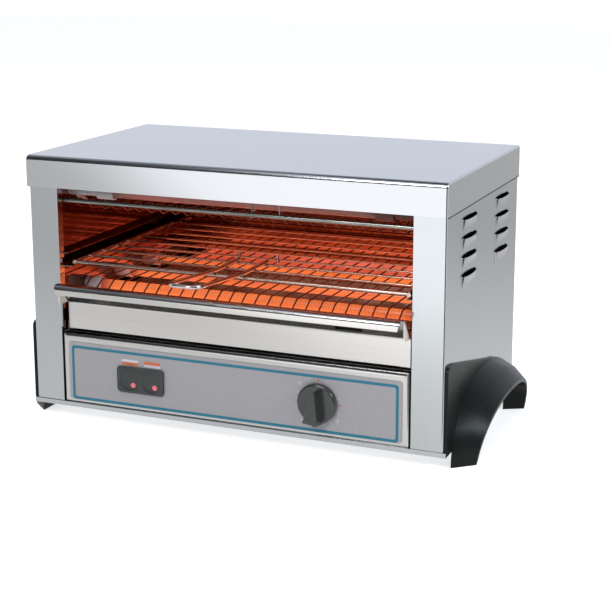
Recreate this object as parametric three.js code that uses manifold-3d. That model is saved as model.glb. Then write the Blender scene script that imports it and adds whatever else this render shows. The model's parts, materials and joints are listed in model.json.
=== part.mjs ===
// Countertop toaster with an open front: a folded steel body on two arched feet, quartz elements
// above and below a sliding wire rack, a crumb tray, a timer and two rocker switches.
// Millimetres, +Z up, +X to the toaster's right as seen from the front, the front faces -Y.
// Inside the body group x is 0 in the middle, y is 0 on the pillars' faces, z is 0 at their foot.
import * as THREE from "three";
import { mergeVertices } from "three/addons/utils/BufferGeometryUtils.js";
import Module from "manifold-3d";

const wasm = await Module();
wasm.setup();

// Body
const bodyWidth = 520;
const bodyDepth = 293;
const bodyHeight = 301;
const footHeight = 23.5;
const sheet = 1.2;
const gap = 0.3;
const overrun = 3;
const half = bodyWidth / 2;

// Top cover
const lidFlange = 37.5;
const lidLip = 4.5;
const lidBend = 6;
const lidHem = 2.5;
const lidHalf = half + gap + sheet;
const lidBack = bodyDepth + gap + sheet;
const lidUnderside = bodyHeight - sheet;

// Side panels, each bent round its front corner into a pillar
const pillarWidth = 38;
const pillarReturn = 11;
const rearReturn = 14;
const panelBend = 2.4;
const panelTop = lidUnderside - gap;
const mouthHalf = half - pillarWidth;

// Louvres
const louvreLength = 53;
const louvreProud = 6;
const louvreFall = 13;
const louvreMouth = 1.5;
const louvreSteps = 10;
const louvreRounding = 0.7;
const louvreDrop = 51;
const louvreRowPitch = 21.5;
const louvreRows = [0, 1, 2, 3].map((row) => bodyHeight - louvreDrop - row * louvreRowPitch);
const louvreFront = 57.5;
const louvreMargin = 99;
const louvreRear = bodyDepth - louvreMargin;
const rearLouvreLow = 44;
const rearLouvreRows = [...louvreRows.slice(1), rearLouvreLow];
const rearLouvrePitch = 120;

// Base pan
const panSideProud = 3.2;
const panProud = 0.8;
const panHalf = half + panSideProud;
const panFront = -panProud;
const panBack = bodyDepth + panProud;
const panDepth = 6;
const panSlotLength = 70;
const panSlotWidth = 5;
const panSlotPitch = 14;
const panSlotSpread = 110;
const panSlotMiddle = 120;

// Chamber
const sideSpace = 32;
const rearSpace = 17;
const topSpace = 18;
const chamberHalf = half - sideSpace;
const chamberBack = bodyDepth - rearSpace;
const chamberTop = bodyHeight - topSpace;
const deckTop = 86.2;
const deckFlange = 12;
const wallFoot = deckTop + gap;
const wallFront = sheet + gap;
const ceilingFront = pillarReturn + gap;
const ceilingDrop = 17;
const ceilingFlange = chamberTop - ceilingDrop;
const ceilingShoulderDepth = 22;
const ceilingShoulderRise = 6;

// Control panel
const faceSideGap = 2.5;
const facePlateHalf = mouthHalf - faceSideGap;
const facePlateTop = deckTop - gap;
const faceBevel = 5;
const faceBevelDepth = 1.8;
const faceProud = 0.9;
const faceReturn = 11;
const labelSideMargin = 7;
const labelTopMargin = 9.4;
const labelHalf = facePlateHalf - labelSideMargin;
const labelBottom = 4.5;
const labelTop = facePlateTop - labelTopMargin;
const labelThick = 0.5;
const labelRadius = 4;
const labelFront = faceProud + gap + labelThick;

// Switches
const switchX = -114;
const switchZ = 38.6;
const switchPitch = 28.8;
const bezelWidth = 62;
const bezelHeight = 32;
const bezelRadius = 4.5;
const bezelThick = 3.2;
const bezelFront = labelFront + gap + bezelThick;
const switchWindowWidth = 57;
const switchWindowHeight = 28;
const rockerBall = 13;
const rockerHalfThick = 5;
const rockerPivotY = -2;
const rockerClearance = 0.5;
const rockerTilt = THREE.MathUtils.degToRad(7);
const rockerCrown = 1.5;
const switchBodySize = 27.6;
const switchBodyDepth = 24;
const switchPocket = 11;
const lensRadius = 3.5;
const lensX = 5.6;
const lensZ = -5.6;
const lensThick = 2.2;
const lensProud = 0.7;

// Timer
const timerX = 112.5;
const timerZ = 39.8;
const timerBodyWidth = 46;
const timerBodyHeight = 50;
const timerBodyDepth = 38;
const shaftRadius = 3;
const shaftSeatDepth = 20;
const knobRadius = 23.5;
const knobSkirt = 7;
const knobEdge = 2.5;
const knobHeight = 21;
const knobStandOff = 0.8;
const gripTailHalf = 2.4;
const gripNoseHalf = 9.5;
const gripNose = 20.5;
const gripTail = 16;
const gripCorner = 1.5;
const beakReach = 28.5;
const beakTipHalf = 1.2;
const beakFootHalf = 13.3;
const beakFoot = 19.4;
const knobBore = 13;
const pointerTurn = THREE.MathUtils.degToRad(186);

// Crumb tray and its folded front
const traySideSpace = 11.5;
const trayLift = 3.8;
const trayDepth = 22;
const trayRearSpace = 6;
const trayHalf = chamberHalf - traySideSpace;
const trayUnderside = deckTop + trayLift;
const trayRim = trayUnderside + trayDepth;
const trayRear = chamberBack - trayRearSpace;
const trayFrontFace = 10;
const lipOverhang = 1;
const lipUpright = 32;
const lipHeight = 59;
const lipHem = 10;
const lipHalf = trayHalf + lipOverhang;
const lipFoot = trayUnderside + lipUpright;
const lipTop = trayUnderside + lipHeight;
const lipCrest = -12;
const lipNose = -24;
const lipNoseRound = 4.5;
const lipBend = 4;
const lipSlotInset = 54.5;
const lipSlotWidth = 34;
const lipSlotLift = 3;
const lipSlotHeight = 7;
const runnerShelf = 13;
const runnerHeight = 11.5;
const runnerClearance = 2.3;

// Levels in the chamber: lower elements, lower guard, rack, upper guard, upper elements
const lowerElementLift = 45.8;
const upperElementDrop = 29;
const lowerGuardLift = 15;
const upperGuardDrop = 22;
const lowerElementZ = deckTop + lowerElementLift;
const upperElementZ = chamberTop - upperElementDrop;
const lowerGuardZ = lowerElementZ + lowerGuardLift;
const upperGuardZ = upperElementZ - upperGuardDrop;
const rackShare = 23 / 85;
const rackZ = lowerGuardZ + (upperGuardZ - lowerGuardZ) * rackShare;

// Rack, its handle and its rails
const rackSideSpace = 16;
const rackRearSpace = 8;
const rackHalf = chamberHalf - rackSideSpace;
const rackFront = 20.4;
const rackRear = chamberBack - rackRearSpace;
const rackBars = 9;
const sideBarRadius = 3;
const frontBarRadius = 2.6;
const rackRodRadius = 1.6;
const rackRodRise = 2;
const handleX = -6.5;
const handleHalf = 18.5;
const handleRadius = 2.3;
const handleReach = 100;
const handleRise = 10;
const handleBend = 13;
const handleClip = 6;
const railRearSpace = 2;
const railFront = pillarReturn + gap;
const railRear = chamberBack - railRearSpace;
const railHeight = 16;
const railCover = 0.5;
const railLipClearance = 5.5;
const railHalf = chamberHalf - gap;

// Elements and guards
const elementRadius = 6;
const elementBore = 4.6;
const coilRadius = 3.6;
const elementSides = 10;
const elementShift = 8;
const elementMiddle = chamberBack / 2 + elementShift;
const lowerElementFront = 72;
const upperElementFront = 40;
const lowerCapReach = 23;
const upperCapReach = 62;
const lowerCapInner = chamberHalf - lowerCapReach;
const upperCapInner = chamberHalf - upperCapReach;
const capRadius = 8.5;
const capLength = 22.4;
const capSocket = 12;
const capNeckRadius = 5.5;
const capTail = 8;
const capBore = 2;
const pinRadius = 1.6;
const pinReach = 6;
const guardPitch = 16;
const guardWireRadius = 1.1;
const guardRodRadius = 2;
const guardRailRadius = 2.8;
const guardSideSpace = 12;
const guardRearSpace = 5;
const guardFront = 15;
const guardRear = chamberBack - guardRearSpace;
const guardHalf = chamberHalf - guardSideSpace;
const lowerGuardBendY = 34;
const lowerGuardDrop = 14;
const upperGuardBendY = 44;
const upperGuardRise = 14;
const hangerX = 42;
const hangerHalf = 17;

// Terminal block, gland and screw holes
const blockSideSpace = 95;
const blockRearSpace = 68;
const blockX = half - blockSideSpace;
const blockY = bodyDepth - blockRearSpace;
const blockLength = 58;
const blockDepth = 22;
const blockHeight = 24;
const blockHole = 3;
const blockPitch = 18;
const glandSideSpace = 60;
const glandX = half - glandSideSpace;
const glandZ = 34;
const glandThread = 8;
const glandFlange = 12;
const glandFlangeThick = 4;
const glandDome = 9;
const glandReach = 15;
const glandBore = 4.5;
const glandNutThick = 6;
const glandTail = 8;
const screwHole = 2.2;
const screwInset = 7;
const rearScrewLow = 22;
const rearScrewDrop = 39;
const rearScrewTop = bodyHeight - rearScrewDrop;
const rearScrewRows = [rearScrewLow, (rearScrewLow + rearScrewTop) / 2, rearScrewTop];
const lidScrewDrop = 20;
const lidScrewZ = bodyHeight - lidScrewDrop;
const lidScrewInset = 60;
const lidScrewPitch = half - lidScrewInset;

// Feet
const footPlateThick = 3.4;
const footPlateTop = 97;
const footPlateFront = 1;
const footPlateKneeY = 30;
const footPlateKneeZ = 94;
const footPlateRun = 18.5;
const footCorner = 7;
const archMiddle = bodyDepth / 2;
const innerArchInset = 17.5;
const outerArchInset = 38;
const innerArchHalf = archMiddle - innerArchInset;
const outerArchHalf = archMiddle - outerArchInset;
const innerArchRise = 85;
const outerArchRise = 61;
const innerArchPower = 2 / 2.15;
const outerArchPower = 2 / 2.3;
const soleArchInset = 55;
const soleArchHalf = archMiddle - soleArchInset;
const soleArchPower = 0.5;
const outerArchReach = 27;
const outerArchFlare = 0.175;
const archWall = 4.5;
const soleArchRise = outerArchRise - archWall;
const footShell = 3;
const footHollowShare = 0.8;
const archSwell = 3;
const archSteps = 26;
const archInset = 3.5;
const footScrewFront = 24;
const footScrewHigh = 70;
const footScrewLow = 16;
const footScrewMiddle = 6.5;
const footScrewMiddleZ = 40;
const footScrewRear = 41;
const footScrewPlaces = [
  [footScrewFront, footScrewHigh],
  [footScrewFront, footScrewLow],
  [archMiddle - footScrewMiddle, footScrewMiddleZ],
  [bodyDepth - footScrewRear, footScrewLow],
];

const elementRows = (front) => ({
  front,
  middle: elementMiddle,
  rear: 2 * elementMiddle - front,
});
const banks = {
  lower: { z: lowerElementZ, rows: elementRows(lowerElementFront), cap: lowerCapInner },
  upper: { z: upperElementZ, rows: elementRows(upperElementFront), cap: upperCapInner },
};

const finishes = {
  steel: { color: "#c9ccd2", metalness: 0.9, roughness: 0.28 },
  mirror: { color: "#c3b6a6", metalness: 0.95, roughness: 0.15 },
  dark: { color: "#4a4745", metalness: 0.6, roughness: 0.5 },
  wire: { color: "#b9b2a8", metalness: 0.9, roughness: 0.3 },
  label: { color: "#a3a1a3", metalness: 0.1, roughness: 0.5 },
  black: { color: "#2b2c2d", metalness: 0, roughness: 0.35 },
  foot: { color: "#3a3c3b", metalness: 0, roughness: 0.45 },
  lens: { color: "#d2303c", metalness: 0, roughness: 0.2 },
  quartz: { color: "#ff9a52", metalness: 0, roughness: 0.2 },
  glow: { color: "#ff5a14", metalness: 0, roughness: 0.6 },
  ceramic: { color: "#ece6da", metalness: 0, roughness: 0.6 },
  timer: { color: "#d8d4c8", metalness: 0, roughness: 0.6 },
};

const weld = 1e-4;
const arcSteps = 4;

// Closed geometry to solid and back
function solidOf(geometry) {
  const bare = new THREE.BufferGeometry();
  bare.setAttribute("position", geometry.getAttribute("position"));
  bare.setIndex(geometry.index);
  const merged = mergeVertices(bare, weld);
  const mesh = new wasm.Mesh({
    numProp: 3,
    vertProperties: merged.attributes.position.array,
    triVerts: new Uint32Array(merged.index.array),
  });
  return new wasm.Manifold(mesh);
}

function geometryOf(solid) {
  const mesh = solid.getMesh();
  const geometry = new THREE.BufferGeometry();
  geometry.setAttribute("position", new THREE.BufferAttribute(mesh.vertProperties, mesh.numProp));
  geometry.setIndex(new THREE.BufferAttribute(mesh.triVerts, 1));
  return geometry;
}

function joined(pieces) {
  return geometryOf(pieces.map(solidOf).reduce((whole, piece) => whole.add(piece)));
}

function cut(base, tools) {
  return geometryOf(tools.map(solidOf).reduce((rest, tool) => rest.subtract(tool), solidOf(base)));
}

// The same geometry on the toaster's other side
function mirrored(geometry) {
  const turned = mergeVertices(bareCopy(geometry), weld);
  turned.scale(-1, 1, 1);
  return flipped(turned);
}

function bareCopy(geometry) {
  const bare = new THREE.BufferGeometry();
  bare.setAttribute("position", geometry.getAttribute("position").clone());
  if (geometry.index) bare.setIndex(geometry.index.clone());
  return bare;
}

function flipped(geometry) {
  const order = Array.from(geometry.index.array);
  for (let i = 0; i < order.length; i += 3) {
    [order[i + 1], order[i + 2]] = [order[i + 2], order[i + 1]];
  }
  geometry.setIndex(order);
  return geometry;
}

// Outlines: corners are [across, up, radius], and a radius rounds its corner
function outline(corners) {
  return corners.flatMap(([across, up, radius = 0], i) => {
    const corner = new THREE.Vector2(across, up);
    if (radius === 0) return [corner];
    const before = corners.at(i - 1);
    const after = corners[(i + 1) % corners.length];
    return cornerArc(corner, new THREE.Vector2(...before), new THREE.Vector2(...after), radius);
  });
}

function cornerArc(corner, before, after, radius) {
  const back = before.clone().sub(corner).normalize();
  const on = after.clone().sub(corner).normalize();
  const halfAngle = Math.acos(THREE.MathUtils.clamp(back.dot(on), -1, 1)) / 2;
  const middle = back.clone().add(on).setLength(radius / Math.sin(halfAngle)).add(corner);
  const start = back.multiplyScalar(radius / Math.tan(halfAngle)).add(corner).sub(middle);
  const end = on.multiplyScalar(radius / Math.tan(halfAngle)).add(corner).sub(middle);
  const turn = Math.atan2(start.cross(end), start.dot(end));
  const steps = Array.from({ length: arcSteps + 1 }, (_, i) => (turn * i) / arcSteps);
  const origin = new THREE.Vector2();
  return steps.map((angle) => start.clone().rotateAround(origin, angle).add(middle));
}

function rectangle(x0, x1, y0, y1, radius = 0) {
  return outline([
    [x0, y0, radius],
    [x1, y0, radius],
    [x1, y1, radius],
    [x0, y1, radius],
  ]);
}

function disc(across, up, radius, sides) {
  return Array.from({ length: sides }, (_, i) => {
    const angle = (2 * Math.PI * (i + 1 / 2)) / sides;
    return new THREE.Vector2(across + radius * Math.cos(angle), up + radius * Math.sin(angle));
  });
}

// A folded sheet's section: an open path of corners, thickened to its left
function folded(corners, thickness) {
  const first = corners[0];
  const last = corners.at(-1);
  const inside = corners.slice(1, -1).flatMap(([across, up, radius = 0], i) => {
    const corner = new THREE.Vector2(across, up);
    if (radius === 0) return [corner];
    const before = new THREE.Vector2(...corners[i]);
    const after = new THREE.Vector2(...corners[i + 2]);
    return cornerArc(corner, before, after, radius);
  });
  const path = [new THREE.Vector2(...first), ...inside, new THREE.Vector2(...last)];
  const offset = path.map((point, i) => {
    const along = [path[i - 1], path[i + 1]].map((other, side) => {
      if (!other) return null;
      return side ? other.clone().sub(point).normalize() : point.clone().sub(other).normalize();
    });
    const ahead = along[1] ?? along[0];
    const behind = along[0] ?? along[1];
    const normal = new THREE.Vector2(-ahead.y - behind.y, ahead.x + behind.x).normalize();
    const mitre = normal.dot(new THREE.Vector2(-ahead.y, ahead.x));
    return normal.multiplyScalar(thickness / mitre).add(point);
  });
  return [...path, ...offset.reverse()];
}

// Prisms: an outline carried along one axis; holes are outlines too
function prism(section, from, to, holes) {
  const shape = new THREE.Shape(section);
  shape.holes = holes.map((hole) => new THREE.Path(hole));
  const settings = { depth: to - from, bevelEnabled: false, steps: 1 };
  return new THREE.ExtrudeGeometry(shape, settings).translate(0, 0, from);
}

const right = new THREE.Vector3(1, 0, 0);
const back = new THREE.Vector3(0, 1, 0);
const forward = new THREE.Vector3(0, -1, 0);
const upward = new THREE.Vector3(0, 0, 1);
const ontoX = new THREE.Matrix4().makeBasis(back, upward, right);
const ontoY = new THREE.Matrix4().makeBasis(right, upward, forward);

// Section in y and z, carried along x
function alongX(section, from, to, holes = []) {
  return prism(section, from, to, holes).applyMatrix4(ontoX);
}

// Section in x and z, carried along y
function alongY(section, from, to, holes = []) {
  return prism(section, -to, -from, holes).applyMatrix4(ontoY);
}

// Section in x and y, carried along z
function alongZ(section, from, to, holes = []) {
  return prism(section, from, to, holes);
}

function box(x0, x1, y0, y1, z0, z1) {
  return alongZ(rectangle(x0, x1, y0, y1), z0, z1);
}

// A closed skin through rings of points, with a flat cap on the first and the last
function loft(rings) {
  const count = rings[0].length;
  const position = rings.flat().flatMap((point) => point.toArray());
  const index = [];
  for (let ring = 0; ring < rings.length - 1; ring += 1) {
    for (let i = 0; i < count; i += 1) {
      const here = ring * count + i;
      const next = ring * count + ((i + 1) % count);
      index.push(here, next, next + count, here, next + count, here + count);
    }
  }
  const lastRing = (rings.length - 1) * count;
  for (let i = 1; i < count - 1; i += 1) {
    index.push(0, i + 1, i, lastRing, lastRing + i, lastRing + i + 1);
  }
  const geometry = new THREE.BufferGeometry();
  geometry.setAttribute("position", new THREE.Float32BufferAttribute(position, 3));
  geometry.setIndex(index);
  return geometry;
}

// Points turned about an axis that runs along y; the profile holds [radius, y]
function turnedAlongY(profile, sides, x, z) {
  const points = profile.map(([radius, y]) => new THREE.Vector2(radius, y));
  return new THREE.LatheGeometry(points, sides).translate(x, 0, z);
}

// Points turned about an axis that runs along x; the profile holds [radius, x]
function turnedAlongX(profile, sides, y, z) {
  const points = profile.map(([radius, x]) => new THREE.Vector2(radius, x));
  return new THREE.LatheGeometry(points, sides).rotateZ(-Math.PI / 2).translate(0, y, z);
}

// A wire's middle line: straight runs and rounded corners, given as points
class WirePath extends THREE.Curve {
  constructor(points) {
    super();
    this.points = points;
  }
  getPoint(t, target = new THREE.Vector3()) {
    const place = t * (this.points.length - 1);
    const start = Math.min(Math.floor(place), this.points.length - 2);
    return target.copy(this.points[start]).lerp(this.points[start + 1], place - start);
  }
  getPointAt(t, target) {
    return this.getPoint(t, target);
  }
  getTangentAt(t, target = new THREE.Vector3()) {
    const place = Math.round(t * (this.points.length - 1));
    const here = this.points[place];
    const ahead = this.points[place + 1] ?? here;
    const behind = this.points[place - 1] ?? here;
    const on = ahead.clone().sub(here).normalize();
    return target.copy(here).sub(behind).normalize().add(on).normalize();
  }
}

function bentWire(corners, bend, radius, sides) {
  const points = corners.flatMap((corner, i) => {
    const before = corners[i - 1];
    const after = corners[i + 1];
    if (!before || !after) return [corner];
    const room = Math.min(corner.distanceTo(before), corner.distanceTo(after)) / 2;
    const length = Math.min(bend, room);
    const start = before.clone().sub(corner).setLength(length).add(corner);
    const end = after.clone().sub(corner).setLength(length).add(corner);
    return new THREE.QuadraticBezierCurve3(start, corner, end).getPoints(arcSteps);
  });
  const path = points.filter((point, i) => i === 0 || point.distanceTo(points[i - 1]) > weld);
  const section = new THREE.Shape(disc(0, 0, radius, sides));
  const settings = { steps: path.length - 1, extrudePath: new WirePath(path) };
  return new THREE.ExtrudeGeometry(section, settings);
}

const toaster = new THREE.Group();
const body = new THREE.Group();
toaster.add(body);

function place(name, geometry, finish, parent = body) {
  const mesh = new THREE.Mesh(geometry, new THREE.MeshStandardMaterial(finishes[finish]));
  mesh.name = name;
  parent.add(mesh);
  return mesh;
}

function bothSides(name, geometry, finish) {
  place(`${name}_right`, geometry, finish);
  place(`${name}_left`, mirrored(geometry), finish);
}

// Top cover: a lid with four flanges and a rounded front edge
function topCover() {
  const flangeFoot = bodyHeight - lidFlange;
  const outer = outline([
    [-lidLip, flangeFoot],
    [lidBack, flangeFoot],
    [lidBack, bodyHeight],
    [-lidLip, bodyHeight, lidBend],
  ]);
  const inner = outline([
    [sheet - lidLip, flangeFoot - overrun],
    [lidBack - sheet, flangeFoot - overrun],
    [lidBack - sheet, lidUnderside],
    [sheet - lidLip, lidUnderside, lidBend - sheet],
  ]);
  const shell = cut(alongX(outer, -lidHalf, lidHalf), [alongX(inner, sheet - lidHalf, lidHalf - sheet)]);
  const hemBack = sheet - lidLip + lidHem;
  const hem = box(-lidHalf, lidHalf, -lidLip, hemBack, flangeFoot, flangeFoot + sheet);
  const holes = lidScrews().map(([x, z]) =>
    alongY(disc(x, z, screwHole, 6), lidBack - sheet - overrun, lidBack + overrun),
  );
  return cut(joined([shell, hem]), holes);
}

function lidScrews() {
  return [-lidScrewPitch, 0, lidScrewPitch].map((x) => [x, lidScrewZ]);
}

// A pressed louvre: a scoop with rounded ends over a slot, each profile being [outward, up] from
// the slot where the scoop stands out by a share of its full height
function louvreLip(share) {
  return [
    [-sheet / 2, 0],
    [louvreProud * share, 0],
    [0, -louvreFall],
    [-sheet / 2, -louvreFall],
  ];
}

function louvreSlot(share) {
  return [
    [-sheet - overrun, louvreMouth],
    [louvreProud * share - sheet, louvreMouth],
    [louvreProud * share - sheet, 0],
    [-sheet / 2, sheet - louvreFall],
    [-sheet - overrun, sheet - louvreFall],
  ];
}

function scoop(profile, from, to) {
  const rings = Array.from({ length: louvreSteps + 1 }, (_, i) => {
    const angle = (Math.PI * i) / louvreSteps;
    const y = (from + to) / 2 - ((to - from) / 2) * Math.cos(angle);
    const points = profile(Math.max(Math.sin(angle), 0) ** louvreRounding);
    return points.map(([out, up]) => new THREE.Vector3(out, y, up));
  });
  return loft(rings);
}

// Right side panel, bent round its front corner into the pillar
function sidePanel() {
  const section = outline([
    [mouthHalf, 0],
    [half, 0, panelBend],
    [half, bodyDepth, panelBend],
    [half - rearReturn, bodyDepth],
    [half - rearReturn, bodyDepth - sheet],
    [half - sheet, bodyDepth - sheet, panelBend - sheet],
    [half - sheet, sheet, panelBend - sheet],
    [mouthHalf + sheet, sheet],
    [mouthHalf + sheet, pillarReturn],
    [mouthHalf, pillarReturn],
  ]);
  const shell = alongZ(section, 0, panelTop);
  const starts = [louvreFront, louvreRear];
  const places = louvreRows.flatMap((z) => starts.map((y) => [y, z]));
  const lips = places.map(([y, z]) => scoop(louvreLip, y, y + louvreLength).translate(half, 0, z));
  const slots = places.map(([y, z]) =>
    scoop(louvreSlot, y + sheet, y + louvreLength - sheet).translate(half, 0, z),
  );
  const footHoles = footScrewPlaces.map(([y, z]) =>
    alongX(disc(y, z, screwHole, 6), half - sheet - overrun, half + overrun),
  );
  const rearHoles = rearScrewRows.map((z) =>
    alongY(disc(half - screwInset, z, screwHole, 6), bodyDepth - sheet - overrun, bodyDepth + overrun),
  );
  return cut(joined([shell, ...lips]), [...slots, ...footHoles, ...rearHoles]);
}

// Rear panel, inside the side panels' returns, with louvres and the gland's hole
const rearFace = bodyDepth - sheet - gap;
function rearPanel() {
  const reach = half - panelBend - gap;
  const plate = box(-reach, reach, rearFace - sheet, rearFace, gap, panelTop);
  const middles = [-rearLouvrePitch, 0, rearLouvrePitch];
  const places = rearLouvreRows.flatMap((z) => middles.map((x) => [x, z]));
  const turn = new THREE.Matrix4().makeBasis(back, forward.clone().cross(upward), upward);
  const stand = (profile, from, to, x, z) =>
    scoop(profile, from, to).applyMatrix4(turn).translate(x, rearFace, z);
  const lips = places.map(([x, z]) => stand(louvreLip, -louvreLength / 2, louvreLength / 2, x, z));
  const slotHalf = louvreLength / 2 - sheet;
  const slots = places.map(([x, z]) => stand(louvreSlot, -slotHalf, slotHalf, x, z));
  const screwSides = [screwInset - half, half - screwInset];
  const screws = [...rearScrewRows.flatMap((z) => screwSides.map((x) => [x, z])), ...lidScrews()];
  const holes = screws.map(([x, z]) =>
    alongY(disc(x, z, screwHole, 6), rearFace - sheet - overrun, rearFace + overrun),
  );
  const glandHole = alongY(
    disc(glandX, glandZ, glandThread + gap, 16),
    rearFace - sheet - overrun,
    rearFace + overrun,
  );
  return cut(joined([plate, ...lips]), [...slots, ...holes, glandHole]);
}

// Base pan: a floor with its edges folded down, slotted for cooling air
function basePan() {
  const outer = box(-panHalf, panHalf, panFront, panBack, -panDepth, -gap);
  const hollow = box(
    sheet - panHalf,
    panHalf - sheet,
    panFront + sheet,
    panBack - sheet,
    -panDepth - overrun,
    -gap - sheet,
  );
  const slots = [-panSlotSpread, panSlotSpread].flatMap((x) =>
    [-2, -1, 0, 1, 2].map((row) => {
      const y = panSlotMiddle + row * panSlotPitch;
      const reach = panSlotLength / 2;
      return box(x - reach, x + reach, y, y + panSlotWidth, -panDepth, overrun);
    }),
  );
  return cut(outer, [hollow, ...slots]);
}

// Toasting chamber: two side walls, a rear wall, a ceiling and the deck below
function chamberWall() {
  const plate = box(chamberHalf, chamberHalf + sheet, wallFront, chamberBack - gap, wallFoot, chamberTop);
  const holes = Object.values(banks).flatMap(({ z, rows }) =>
    Object.values(rows).map((y) =>
      alongX(disc(y, z, capNeckRadius + gap, 12), chamberHalf - overrun, chamberHalf + overrun),
    ),
  );
  return cut(plate, holes);
}

function chamberRearWall() {
  const reach = chamberHalf + sheet;
  return box(-reach, reach, chamberBack, chamberBack + sheet, wallFoot, chamberTop);
}

function ceilingReflector() {
  const top = chamberTop;
  const shoulder = chamberTop - ceilingShoulderRise;
  const path = [
    [ceilingFront, ceilingFlange],
    [ceilingFront, shoulder],
    [ceilingFront + ceilingShoulderDepth, top],
    [chamberBack - gap - ceilingShoulderDepth, top],
    [chamberBack - gap, shoulder],
    [chamberBack - gap, ceilingFlange],
  ];
  return alongX(folded(path, -sheet), gap - chamberHalf, chamberHalf - gap);
}

function controlDeck() {
  const reach = half - sheet - gap;
  const foot = deckTop - deckFlange;
  const path = [
    [-reach, foot],
    [-reach, deckTop],
    [reach, deckTop],
    [reach, foot],
  ];
  return alongY(folded(path, -sheet), pillarReturn + gap, rearFace - sheet - gap);
}

// Control panel: a shallow tray with bevelled edges, open to the rear
function bevelledBlock(inset, front, rear) {
  const ring = (shrink, y) => {
    const side = facePlateHalf - inset - shrink;
    const low = gap + inset + shrink;
    const high = facePlateTop - inset - shrink;
    return [
      new THREE.Vector3(-side, y, low),
      new THREE.Vector3(-side, y, high),
      new THREE.Vector3(side, y, high),
      new THREE.Vector3(side, y, low),
    ];
  };
  return loft([ring(faceBevel, front), ring(0, front + faceBevelDepth), ring(0, rear)]);
}

function controlPanel() {
  const outer = bevelledBlock(0, -faceProud, faceReturn);
  const inner = bevelledBlock(sheet, sheet - faceProud, faceReturn + overrun);
  return cut(outer, [inner, switchWindow(), shaftHole()]);
}

function switchWindow() {
  const across = switchWindowWidth / 2;
  const up = switchWindowHeight / 2;
  const opening = rectangle(switchX - across, switchX + across, switchZ - up, switchZ + up);
  return alongY(opening, -labelFront - overrun, faceReturn);
}

function shaftHole() {
  const hole = disc(timerX, timerZ, shaftRadius + rockerClearance, 12);
  return alongY(hole, -labelFront - overrun, faceReturn);
}

function panelLabel() {
  const face = rectangle(-labelHalf, labelHalf, labelBottom, labelTop, labelRadius);
  return cut(alongY(face, -labelFront, labelThick - labelFront), [switchWindow(), shaftHole()]);
}

// Switches: one bezel, two bodies, two round rockers, each with a pilot lens
const rockerPlaces = { left: switchX - switchPitch / 2, right: switchX + switchPitch / 2 };

function switchBezel() {
  const across = bezelWidth / 2;
  const up = bezelHeight / 2;
  const face = rectangle(switchX - across, switchX + across, switchZ - up, switchZ + up, bezelRadius);
  const holes = Object.values(rockerPlaces).map((x) =>
    disc(x, switchZ, rockerBall + rockerClearance, 24),
  );
  return alongY(face, -bezelFront, bezelThick - bezelFront, holes);
}

function switchBody(x) {
  const reach = switchBodySize / 2;
  const front = bezelThick - bezelFront + gap;
  const block = box(x - reach, x + reach, front, switchBodyDepth, switchZ - reach, switchZ + reach);
  const pocket = disc(x, switchZ, rockerBall + rockerClearance, 24);
  return cut(block, [alongY(pocket, front - overrun, switchPocket)]);
}

// A rocker is a slice of a ball, so that it turns in its hole without widening
function rocker() {
  const face = Math.sqrt(rockerBall ** 2 - rockerHalfThick ** 2);
  const waist = Math.sqrt(rockerBall ** 2 - (rockerHalfThick / 2) ** 2);
  const slice = turnedAlongY(
    [
      [0, -rockerHalfThick - rockerCrown],
      [face / 2, -rockerHalfThick - rockerCrown / 2],
      [face, -rockerHalfThick],
      [waist, -rockerHalfThick / 2],
      [rockerBall, 0],
      [waist, rockerHalfThick / 2],
      [face, rockerHalfThick],
      [0, rockerHalfThick],
    ],
    24,
    0,
    0,
  );
  const seat = disc(lensX, lensZ, lensRadius + gap, 14);
  return cut(slice, [alongY(seat, -rockerHalfThick - overrun, lensThick - rockerHalfThick)]);
}

function pilotLens() {
  const rear = lensThick - rockerHalfThick - gap;
  const front = -rockerHalfThick - lensProud;
  return turnedAlongY(
    [
      [0, front],
      [lensRadius / 2, front],
      [lensRadius, front + lensProud],
      [lensRadius, rear],
      [0, rear],
    ],
    14,
    lensX,
    lensZ,
  );
}

// Timer: body behind the panel, shaft through it, knob on the shaft
function timerBody() {
  const across = timerBodyWidth / 2;
  const up = timerBodyHeight / 2;
  const front = sheet - faceProud + gap;
  const rear = front + timerBodyDepth;
  const block = box(timerX - across, timerX + across, front, rear, timerZ - up, timerZ + up);
  const bore = disc(timerX, timerZ, shaftRadius + gap, 12);
  return cut(block, [alongY(bore, front - overrun, shaftSeatDepth)]);
}

const knobBack = -labelFront - knobStandOff;

function timerShaft() {
  const front = knobBack - knobBore + gap;
  return alongY(disc(timerX, timerZ, shaftRadius, 12), front, shaftSeatDepth - gap);
}

function timerKnob() {
  const skirt = turnedAlongY(
    [
      [0, -knobSkirt],
      [knobRadius - knobEdge, -knobSkirt],
      [knobRadius, knobEdge - knobSkirt],
      [knobRadius, 0],
      [0, 0],
    ],
    32,
    0,
    0,
  );
  const grip = outline([
    [-gripTailHalf, -gripTail, gripCorner],
    [gripTailHalf, -gripTail, gripCorner],
    [gripNoseHalf, gripNose, gripCorner],
    [-gripNoseHalf, gripNose, gripCorner],
  ]);
  const beak = outline([
    [-beakFootHalf, beakFoot],
    [0, 0],
    [beakFootHalf, beakFoot],
    [beakTipHalf, beakReach],
    [-beakTipHalf, beakReach],
  ]);
  const whole = joined([
    skirt,
    alongY(grip, -knobHeight, -knobSkirt / 2),
    alongY(beak, knobEdge - knobSkirt, 0),
  ]);
  const bore = disc(0, 0, shaftRadius + gap, 12);
  return cut(whole, [alongY(bore, -knobBore, overrun)]);
}

// Crumb tray: a pan, and a front sheet whose top folds out into the handle
const trayPanFront = trayFrontFace + sheet + gap;

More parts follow.
